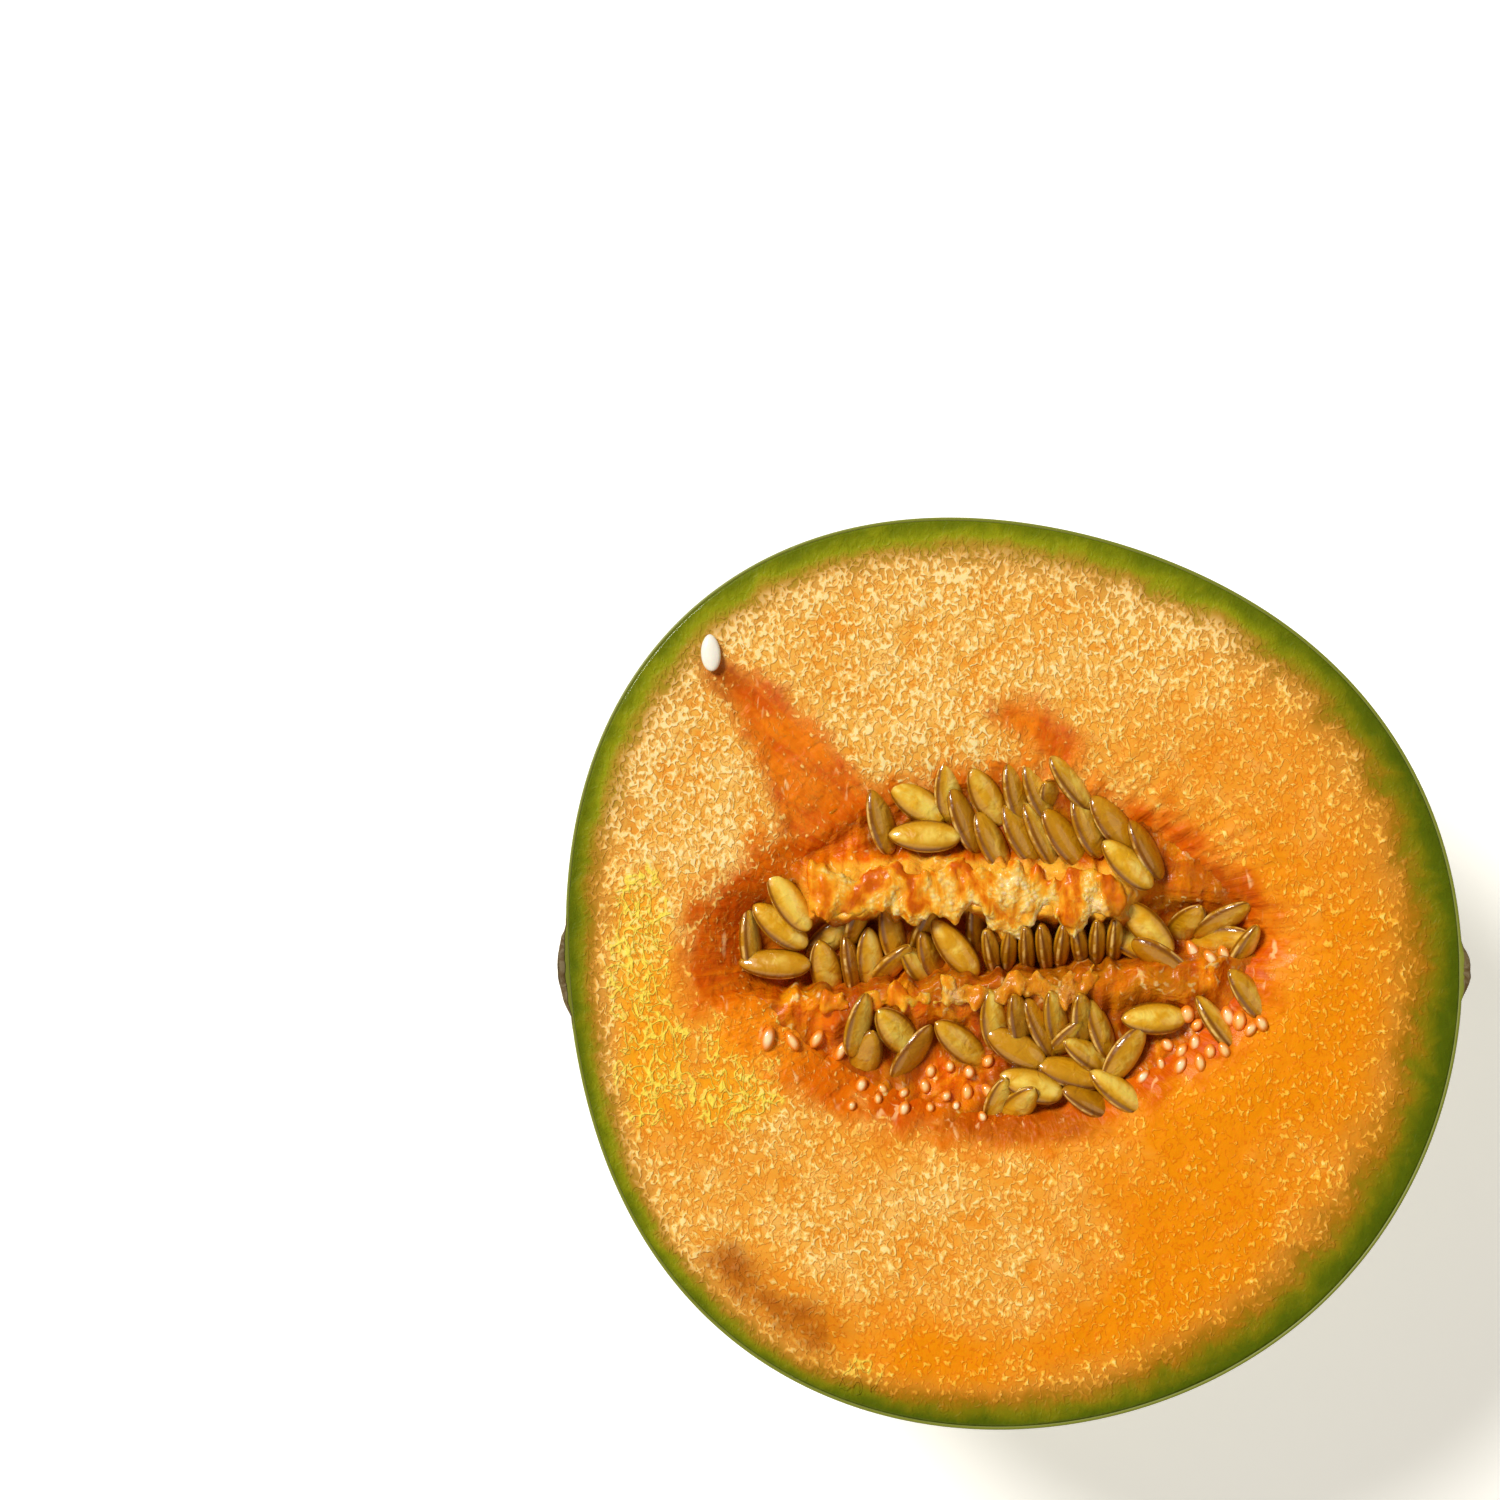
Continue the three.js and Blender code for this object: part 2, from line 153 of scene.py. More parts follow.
LOWER_POCKET_SEEDS = [
    (-24.9, -9.3, 78, 45, -20, 1.0),
    (-18.5, -10.4, 130, 5, -30, 1.2),
    (-23.6, -14.8, 76, 5, -35, 0.8),
    (-15.6, -14.4, 57, 45, -12, 0.8),
    (-7.4, -12.6, 140, 8, -22, 0.8),
    (2.0, -13.3, 150, 10, -4, 3.0),
    (4.6, -19.6, 162, 15, -4, 3.0),
    (11.4, -17.6, 165, 30, -6, 1.6),
    (14.7, -14.8, 150, 40, -28, 1.2),
    (20.6, -14.4, 57, 30, -6, 1.8),
    (25.6, -8.3, 180, 15, -12, 1.8),
    (19.3, -20.7, 144, 38, -4, 1.6),
    (14.8, -22.6, 155, 48, -20, 1.0),
    (-0.8, -22.6, 80, 30, -40, 0.8),
    (2.4, -23.4, 55, 20, -45, 0.8),
    (10.3, -12.4, 55, 48, -38, 1.2),
    (2.6, -8.8, 105, 48, -30, 1.2),
    (6.4, -10.0, 118, 48, -18, 1.2),
    (8.8, -8.4, 105, 45, -35, 1.2),
    (13.4, -8.8, 100, 48, -35, 1.2),
    (16.5, -10.4, 112, 48, -14, 1.4),
    (-1.7, -8.8, 100, 30, -20, 0.8),
    (42.0, -4.5, 130, 35, -12, 1.0),
    (36.4, -9.3, 127, 60, -4, 1.2),
]
DEEP_ROW = {
    "start": (-1.9, 2.8),
    "end": (19.3, 4.8),
    "count": 8,
    "turn": 100,
    "sway": 9,
    "roll": 70,
    "dip": -48,
    "lift": 3.0,
}

# Unripe seeds, still tiny beads: start and end of each row, how many, and their size and length
BEAD_ROWS = [
    ((-40.4, -11.2), (-27.8, -13.1), 4, 1.15, 1.7),
    ((-24.4, -20.2), (-2.6, -21.4), 7, 1.05, 1.2),
    ((-12.5, -17.5), (-2.6, -16.5), 4, 1.05, 1.1),
    ((-26.1, -22.3), (-3.7, -24.3), 6, 0.95, 1.2),
    ((28.0, -13.1), (37.3, -13.4), 5, 1.1, 1.2),
    ((23.7, -17.5), (33.2, -15.3), 4, 1.0, 1.4),
    ((31.4, -7.6), (33.1, -10.0), 2, 1.3, 1.1),
    ((38.2, -8.3), (43.6, -9.7), 4, 1.25, 1.2),
    ((32.7, 2.2), (37.6, 2.8), 3, 1.2, 1.5),
]
BEAD_RADIUS = 1.0
BEAD_SWAY = 0.8
BEAD_PROUD = 0.25

# The unripe seed on the face, and the two places where the face is scraped
STRAY_SEED = {
    "at": (-50.1, 54.1),
    "turn": 94,
    "length": 6.3,
    "width": 3.4,
    "thickness": 1.6,
    "proud": 0.35,
}
STREAK = {
    "start": (-49.7, 52.5),
    "end": (-29.5, 25.0),
    "bow": 1.6,
    "narrow": 1.6,
    "wide": 8.0,
    "depth": 1.2,
}
PATCH = {
    "start": (1.0, 43.4),
    "end": (9.5, 37.4),
    "bow": 0.5,
    "narrow": 2.2,
    "wide": 2.8,
    "depth": 0.8,
}
SCRAPE_EDGE = 2.5

# Tones of flesh and pulp: a run from deep to pale, then soft oval spots, each x, y and half-axes
# The run to pale points to the upper left, where the light comes from: partly the flesh's own tone,
# partly painted sheen
PALE_RUN = {"along": (-0.9, 0.8), "low": -62.0, "high": 62.0}
PALE_SPOTS = [(-6.0, -46.0, 30.0, 17.0)]
GOLDEN_SPOTS = [(-77.0, 0.0, 12.0, 34.0), (-56.0, -14.0, 14.0, 20.0)]
# Juicy patches at the left end: golden with bright yellow curls, partly the juice's own colour, partly
# painted glare, and painted light on slopes there that face away from the light
JUICE_AND_GLARE_SPOTS = [
    (-62.0, 2.0, 6.0, 16.0),
    (-60.0, -16.0, 7.0, 11.0),
    (-46.0, -21.0, 9.0, 6.0),
    (-42.0, -11.5, 11.0, 7.0),
    (-25.0, -69.0, 4.0, 3.0),
]
# Brown spots: partly brown flesh and pulp, partly painted shade under the cavity's lower rim, on the pulp
# by the torn stem end and beside the stray seed
BROWN_AND_SHADE_SPOTS = [
    (34.0, 13.0, 10.0, 6.0),
    (22.0, 9.0, 7.0, 4.0),
    (9.0, -3.4, 22.0, 5.6),
    (3.0, -26.5, 17.0, 4.0),
    (-48.0, 50.0, 5.0, 3.6),
]
GLOW_SPOTS = [(-9.3, 13.6, 4.2, 7.0), (3.0, 12.0, 7.0, 6.5), (14.5, 11.0, 3.0, 4.0)]

# Torn pulp hangs below each ridge's middle line in lobes: x, half width and reach
UPPER_LOBES = [
    (-27.0, 7.0, 4.2),
    (-15.5, 4.0, 6.2),
    (-9.0, 2.6, 5.2),
    (1.0, 5.2, 9.4),
    (11.8, 3.0, 7.8),
    (18.5, 4.0, 3.6),
]
LOWER_LOBES = [
    (-34.0, 5.0, 3.0),
    (-21.0, 6.0, 2.4),
    (-3.0, 7.0, 3.4),
    (10.0, 5.0, 4.2),
    (26.0, 9.0, 5.0),
]
LEAST_REACH = 2.2
DEEPEST_TRY = -10.0
TORN_EDGE = 1.2
TORN_TOP_EDGE = 1.5
SAG_START = 2.0
SAG_RUN = 6.0
HIGHEST_CRUMB = -0.7

# Runs of torn pulp: ridge, lobes, start and end, how many lumps, how far they sag and stand proud
TORN_RUNS = [
    (UPPER_RIDGE, UPPER_LOBES, (-33.0, 20.0), 1400, 3.6, 0.2),
    (LOWER_RIDGE, LOWER_LOBES, (-31.0, 16.0), 860, 2.0, -0.15),
]

# The brown bruise near the rim
BRUISE = {
    "start": (-48.0, -49.5),
    "end": (-31.0, -61.5),
    "bow": -0.6,
    "narrow": 3.6,
    "wide": 4.2,
}

# The corky scar at the blossom end and the stub at the stem end: half-axes of the lump under each
SCAR = {"sideways": 10.0, "down": 12.0, "proud": 1.5, "below": 4.0}
STEM_STUB = {"sideways": 6.0, "down": 7.0, "proud": 1.4, "below": 3.0}
RIND_THICKNESS = 0.55

# How finely the pieces are made
FACE_SECTORS = 740
FACE_RINGS = 106
WALL_RINGS = 24
RIND_SECTORS = 480
RIND_RINGS = 84
PULP_GRID = (290, 190)

# The flesh's slope in the cavity: how far in it reaches, where it meets the pulp, and its dip under it
SLOPE_REACH = 0.2
SLOPE_FOOT = 0.7
WALL_OVER_PULP = 0.35
WALL_DIP = 4.0
WALL_TUCK = 5.0

# The flesh's hidden sides: shares of its height, how they narrow, its bottom and the floor under the pulp
HIDDEN_LEVELS = (0.82, 0.45, 0.16)
HIDDEN_CURVE = 0.97
HIDDEN_INSET = 0.985
FLESH_BOTTOM = 3.0
FLESH_FLOOR = -22.0

# The rind's inside, its cut edge as shares of its thickness with heights, and its bottom inside
INNER_RINGS = 7
CUT_EDGE_RINGS = [(0.7, 0.12, 0.0), (0.25, 0.1, 1.0)]
RIND_BOTTOM = 3.2

# How much the rind's streaks are drawn out towards its ends
RIND_DRAW = np.array([0.12, 1.0, 1.0])

# The pulp's hidden underside: how it narrows, and its heights
PULP_OVERLAP = 1.0
PULP_EDGE_DIP = 3.0
PULP_UNDER_SHARE = 0.96
PULP_UNDER_EDGE = -14.0
PULP_UNDER_MIDDLE = -20.0


def smooth_step(low, high, value):
    t = np.clip((value - low) / (high - low), 0.0, 1.0)
    return t * t * (3 - 2 * t)


def mix(a, b, share):
    return a + (b - a) * share


def srgb(red, green, blue):
    """A colour seen on screen, 0 to 255, as Blender's linear one."""
    shares = (red / 255, green / 255, blue / 255)
    linear = [((share + 0.055) / 1.055) ** 2.4 if share > 0.04 else share / 12.92 for share in shares]
    return (*linear, 1.0)


def waves(angle, lobes):
    """A sum of waves round the melon: how many lobes each has, how high they are and where one points."""
    return sum(part * np.cos(count * (angle - math.radians(toward))) for count, part, toward in lobes)


def outline_radius(angle):
    return FACE_RADIUS * (1 + waves(angle, OUTLINE_LOBES))


def ring_at(angle, reach, height):
    """A level ring of points."""
    return np.stack([reach * np.cos(angle), reach * np.sin(angle), np.full_like(angle, height)], axis=-1)


def cavity_radius(angle):
    along = np.abs(np.cos(angle)) / CAVITY_HALF_LENGTH
    across = np.abs(np.sin(angle)) / CAVITY_HALF_WIDTH
    return (along**CAVITY_PINCH + across**CAVITY_PINCH) ** (-1 / CAVITY_PINCH)


def cavity_share(x, y):
    """0 at the middle of the cavity and 1 at its edge."""
    off_x = x - CAVITY_CENTRE[0]
    off_y = y - CAVITY_CENTRE[1]
    return np.hypot(off_x, off_y) / cavity_radius(np.arctan2(off_y, off_x))


def crag(x, y):
    u = x / CRAG_PITCH
    v = y / CRAG_PITCH
    return np.sin(2.1 * u + 1.7 * np.sin(1.3 * v)) * np.cos(2.6 * v + 1.4 * np.sin(1.9 * u))


def ridge_line(ridge, x):
    a, b, c = ridge["line"]
    return a + b * x + c * x * x


def ridge_share(ridge, x, y):
    """1 along a ridge's top, 0 on the floors beside it and past its ends."""
    off = y - ridge_line(ridge, x)
    slope = np.where(off > 0, ridge["slope_above"], ridge["slope_below"])
    across = 1 - smooth_step(0.0, 1.0, (np.abs(off) - ridge["half_width"]) / slope)
    started = smooth_step(ridge["start"] - RIDGE_END_FADE, ridge["start"] + RIDGE_END_FADE, x)
    ended = smooth_step(ridge["end"] - RIDGE_END_FADE, ridge["end"] + RIDGE_END_FADE, x)
    return across * started * (1 - ended)


def pulp_height(x, y):
    """Height of the pulp's surface from the cut face. Its steps are softer at the stem end."""
    share = np.minimum(1.0, cavity_share(x, y))
    above_upper = y - ridge_line(UPPER_RIDGE, x)
    below_lower = ridge_line(LOWER_RIDGE, x) - y
    softer = smooth_step(20.0, 30.0, x)
    height = mix(VALLEY_LEVEL, SHELF_LEVEL, smooth_step(-1.0 - 4.0 * softer, 3.0 + softer, above_upper))
    height = mix(height, POCKET_LEVEL, smooth_step(-1.0, 3.0, below_lower))
    height = mix(height, RIM_LEVEL, share**5)
    for ridge in (UPPER_RIDGE, LOWER_RIDGE):
        height = mix(height, ridge["top"], ridge_share(ridge, x, y))
    return height + CRAG_HEIGHT * crag(x, y)


def brush_depth(stroke, x, y):
    """How far a point lies inside the edge of a stroke from start to end, less than 0 outside it."""
    start = np.array(stroke["start"])
    run = np.array(stroke["end"]) - start
    length = np.hypot(*run)
    run = run / length
    along = ((x - start[0]) * run[0] + (y - start[1]) * run[1]) / length
    aside = (y - start[1]) * run[0] - (x - start[0]) * run[1]
    kept = np.clip(along, 0.0, 1.0)
    aside = aside - stroke["bow"] * 4 * kept * (1 - kept)
    past = (along - kept) * length
    return mix(stroke["narrow"], stroke["wide"], kept) - np.hypot(aside, past)


def brush_share(stroke, x, y, edge=1.5):
    """1 inside a stroke and 0 outside it."""
    return smooth_step(-edge, edge, brush_depth(stroke, x, y))


def spot_share(spots, x, y):
    """1 inside soft oval spots, each x, y and half-axes."""
    share = np.zeros_like(x)
    for spot_x, spot_y, half_x, half_y in spots:
        distance = np.hypot((x - spot_x) / half_x, (y - spot_y) / half_y)
        share = np.maximum(share, 1 - smooth_step(0.5, 1.2, distance))
    return share


# Mesh making

def ringed_body(name, rings, first_pole, last_pole, values):
    """A closed body from rings of points, all with the same count, and a point that closes each end."""
    ring_count, sectors, _ = rings.shape
    points = np.vstack([rings.reshape(-1, 3), [first_pole], [last_pole]]) * MM
    index = np.arange(ring_count * sectors).reshape(ring_count, sectors)
    following = np.roll(index, -1, axis=1)
    quads = np.stack([index[:-1], following[:-1], following[1:], index[1:]], axis=-1).reshape(-1, 4)
    first = len(points) - 2
    last = len(points) - 1
    faces = quads.tolist()
    faces += [(first, int(b), int(a)) for a, b in zip(index[0], following[0])]
    faces += [(last, int(a), int(b)) for a, b in zip(index[-1], following[-1])]
    piece = mesh_piece(name, points, faces)
    for key, ring_values in values.items():
        store_values(piece, key, ring_values, ring_count * sectors + 2)
    return piece


def mesh_piece(name, points, faces):
    mesh = bpy.data.meshes.new(name)
    mesh.from_pydata(np.asarray(points).tolist(), [], faces)
    mesh.update()
    if signed_volume(mesh) < 0:
        mesh.flip_normals()
    piece = bpy.data.objects.new(name, mesh)
    bpy.context.scene.collection.objects.link(piece)
    return piece


def signed_volume(mesh):
    mesh.calc_loop_triangles()
    points = np.empty(len(mesh.vertices) * 3)
    mesh.vertices.foreach_get("co", points)
    points = points.reshape(-1, 3)
    corners = np.empty(len(mesh.loop_triangles) * 3, dtype=np.int32)
    mesh.loop_triangles.foreach_get("vertices", corners)
    a, b, c = (points[corners[i::3]] for i in range(3))
    return float(np.einsum("ij,ij->i", a, np.cross(b, c)).sum() / 6)


def store_values(piece, key, ring_values, total):
    """Stores a number or a vector for each point. Poles get the value 0."""
    ring_values = np.asarray(ring_values, dtype=np.float32)
    is_vector = ring_values.ndim == 3
    flat = ring_values.reshape(-1, 3) if is_vector else ring_values.reshape(-1)
    padded = np.zeros((total, 3) if is_vector else total, dtype=np.float32)
    padded[: len(flat)] = flat
    kind = "FLOAT_VECTOR" if is_vector else "FLOAT"
    attribute = piece.data.attributes.new(key, kind, "POINT")
    attribute.data.foreach_set("vector" if is_vector else "value", padded.ravel())


# Node making, the same for materials and for Geometry Nodes

def feed(tree, socket, value):
    """Links an output to a socket, or sets the socket to a plain value."""
    if isinstance(value, bpy.types.NodeSocket):
        tree.links.new(value, socket)
    else:
        socket.default_value = value


def node(tree, kind, settings=None, **inputs):
    made = tree.nodes.new(kind)
    for key, value in (settings or {}).items():
        setattr(made, key, value)
    for key, value in inputs.items():
        feed(tree, made.inputs[key.replace("_", " ")], value)
    return made


def maths(tree, operation, *values, clamp=False):
    made = tree.nodes.new("ShaderNodeMath")
    made.operation = operation
    made.use_clamp = clamp
    for socket, value in zip(made.inputs, values):
        feed(tree, socket, value)
    return made.outputs[0]


def plus(tree, first, second, clamp=False):
    return maths(tree, "ADD", first, second, clamp=clamp)


def minus(tree, first, second):
    return maths(tree, "SUBTRACT", first, second)


def times(tree, first, second, clamp=False):
    return maths(tree, "MULTIPLY", first, second, clamp=clamp)


def vector_maths(tree, operation, *values):
    made = tree.nodes.new("ShaderNodeVectorMath")
    made.operation = operation
    for socket, value in zip(made.inputs, values):
        feed(tree, socket, value)
    return made.outputs["Value" if operation in ("LENGTH", "DISTANCE", "DOT_PRODUCT") else "Vector"]


def scaled(tree, vector, factor):
    made = tree.nodes.new("ShaderNodeVectorMath")
    made.operation = "SCALE"
    feed(tree, made.inputs[0], vector)
    feed(tree, made.inputs["Scale"], factor)
    return made.outputs["Vector"]


def between(tree, value, low, high, to_low=0.0, to_high=1.0):
    """Maps a value that runs from low to high, smoothly, and holds it at the ends."""
    made = tree.nodes.new("ShaderNodeMapRange")
    made.interpolation_type = "SMOOTHSTEP"
    for socket, fed in zip(made.inputs, (value, low, high, to_low, to_high)):
        feed(tree, socket, fed)
    return made.outputs[0]


def noise(tree, place, scale, detail, roughness=0.5, distortion=0.0):
    made = node(
        tree, "ShaderNodeTexNoise", Vector=place, Scale=scale, Detail=detail,
        Roughness=roughness, Distortion=distortion,
    )
    return made.outputs[0]


def colour_noise(tree, place, scale, detail):
    made = node(tree, "ShaderNodeTexNoise", Vector=place, Scale=scale, Detail=detail)
    return made.outputs[1]


def cells(tree, place, scale, feature="F1", smoothness=1.0):
    made = tree.nodes.new("ShaderNodeTexVoronoi")
    made.feature = feature
    feed(tree, made.inputs["Vector"], place)
    feed(tree, made.inputs["Scale"], scale)
    if feature == "SMOOTH_F1":
        feed(tree, made.inputs["Smoothness"], smoothness)
    return made


def blend(tree, factor, first, second):
    """Mixes two colours."""
    made = tree.nodes.new("ShaderNodeMix")
    made.data_type = "RGBA"
    feed(tree, made.inputs[0], factor)
    feed(tree, made.inputs[6], first)
    feed(tree, made.inputs[7], second)
    return made.outputs[2]


def attribute(tree, key, is_vector=False):
    made = node(tree, "ShaderNodeAttribute", {"attribute_name": key})
    return made.outputs["Vector" if is_vector else "Fac"]


def colour_ramp(tree, factor, stops):
    made = tree.nodes.new("ShaderNodeValToRGB")
    ramp = made.color_ramp
    while len(ramp.elements) < len(stops):
        ramp.elements.new(0.5)
    for element, (place, colour) in zip(ramp.elements, stops):
        element.position = place
        element.color = colour
    feed(tree, made.inputs["Fac"], factor)
    return made.outputs["Color"]


def shader_group(name, inputs, outputs):
    """An empty shader group. Each input has a name, a kind and a usual value, each output no value."""
    group = bpy.data.node_groups.new(name, "ShaderNodeTree")
    for key, kind, usual in inputs:
        socket = group.interface.new_socket(name=key, in_out="INPUT", socket_type=f"NodeSocket{kind}")
        if usual is not None:
            socket.default_value = usual
    for key, kind in outputs:
        group.interface.new_socket(name=key, in_out="OUTPUT", socket_type=f"NodeSocket{kind}")
    return group, group.nodes.new("NodeGroupInput"), group.nodes.new("NodeGroupOutput")


def place_group(tree, group, **inputs):
    made = tree.nodes.new("ShaderNodeGroup")
    made.node_tree = group
    for key, value in inputs.items():
        feed(tree, made.inputs[key.replace("_", " ")], value)
    return made


def new_material(name, **settings):
    """A material with a Principled BSDF whose plain values are set on its own sockets."""
    material = bpy.data.materials.new(name)
    material.use_nodes = True
    tree = material.node_tree
    tree.nodes.clear()
    surface = tree.nodes.new("ShaderNodeBsdfPrincipled")
    output = tree.nodes.new("ShaderNodeOutputMaterial")
    tree.links.new(surface.outputs[0], output.inputs["Surface"])
    for key, value in settings.items():
        surface.inputs[key.replace("_", " ")].default_value = value
    place = tree.nodes.new("ShaderNodeTexCoord").outputs["Object"]
    return material, tree, surface, place


def bump(tree, surface, height, distance, strength=1.0):
    """Relief that only the light sees, as high as the distance where the height is 1."""
    made = tree.nodes.new("ShaderNodeBump")
    made.inputs["Strength"].default_value = strength
    made.inputs["Distance"].default_value = distance
    feed(tree, made.inputs["Height"], height)
    tree.links.new(made.outputs["Normal"], surface.inputs["Normal"])


# Effects that several materials share

# How steeply the ridges' field is folded into lines, in radians for each unit of noise
RIDGE_TURNS = 16.0


def make_wet_ridges():
    """The winding juicy ridges of cut flesh: drops where the cover is low, small hollows where high."""
    group, given, result = shader_group(
        "wet ridges",
        [("Place", "Vector", None), ("Size", "Float", 0.0011), ("Cover", "Float", 0.5)],
        [("Height", "Float"), ("Tops", "Float"), ("Outlines", "Float")],
    )
    per_metre = maths(group, "DIVIDE", 1.0, given.outputs["Size"])
    drawn = vector_maths(group, "MULTIPLY", given.outputs["Place"], (1.0, 0.75, 1.0))
    field = noise(group, drawn, times(group, per_metre, 0.55), 1.5, 0.5, 0.5)
    wave = maths(group, "SINE", times(group, field, RIDGE_TURNS))
    breaks = noise(group, drawn, times(group, per_metre, 0.8), 0.0)
    lift = maths(group, "MULTIPLY_ADD", given.outputs["Cover"], 2.0, -2.8)
    lift = maths(group, "MULTIPLY_ADD", breaks, 3.0, lift)
    level = plus(group, wave, lift)
    group.links.new(between(group, level, -0.6, 1.6), result.inputs["Height"])
    group.links.new(between(group, level, 0.2, 0.8), result.inputs["Tops"])
    off_edge = maths(group, "ABSOLUTE", minus(group, level, -0.05))
    group.links.new(between(group, off_edge, 0.05, 0.4, 1.0, 0.0), result.inputs["Outlines"])
    return group


def make_tone_drift():
    """Slow changes of tone over the surface, with a finer one on top."""
    group, given, result = shader_group(
        "tone drift",
        [("Place", "Vector", None), ("Size", "Float", 0.02), ("Contrast", "Float", 1.0)],
        [("Tone", "Float")],
    )
    per_metre = maths(group, "DIVIDE", 1.0, given.outputs["Size"])
    tone = noise(group, given.outputs["Place"], per_metre, 4.0, 0.55, 0.4)
    off = times(group, minus(group, tone, 0.5), given.outputs["Contrast"])
    group.links.new(plus(group, off, 0.5, clamp=True), result.inputs["Tone"])
    return group


def make_specks():
    """Scattered small round marks."""
    group, given, result = shader_group(
        "specks",
        [
            ("Place", "Vector", None),
            ("Spacing", "Float", 0.004),
            ("Reach", "Float", 0.2),
            ("Share", "Float", 0.5),
        ],
        [("Mark", "Float"), ("Ring", "Float")],
    )
    per_metre = maths(group, "DIVIDE", 1.0, given.outputs["Spacing"])
    spots = cells(group, given.outputs["Place"], per_metre)
    shown = maths(group, "LESS_THAN", parts_of(group, spots.outputs["Color"])[0], given.outputs["Share"])
    distance = spots.outputs["Distance"]
    inner = times(group, given.outputs["Reach"], 0.45)
    mark = between(group, distance, inner, given.outputs["Reach"], 1.0, 0.0)
    from_ring = maths(group, "ABSOLUTE", minus(group, distance, given.outputs["Reach"]))
    ring = between(group, from_ring, 0.0, inner, 1.0, 0.0)
    group.links.new(times(group, mark, shown), result.inputs["Mark"])
    group.links.new(times(group, ring, shown), result.inputs["Ring"])
    return group


def parts_of(tree, vector):
    made = tree.nodes.new("ShaderNodeSeparateXYZ")
    feed(tree, made.inputs[0], vector)
    return made.outputs


WET_RIDGES = make_wet_ridges()
TONE_DRIFT = make_tone_drift()
SPECKS = make_specks()


# Materials

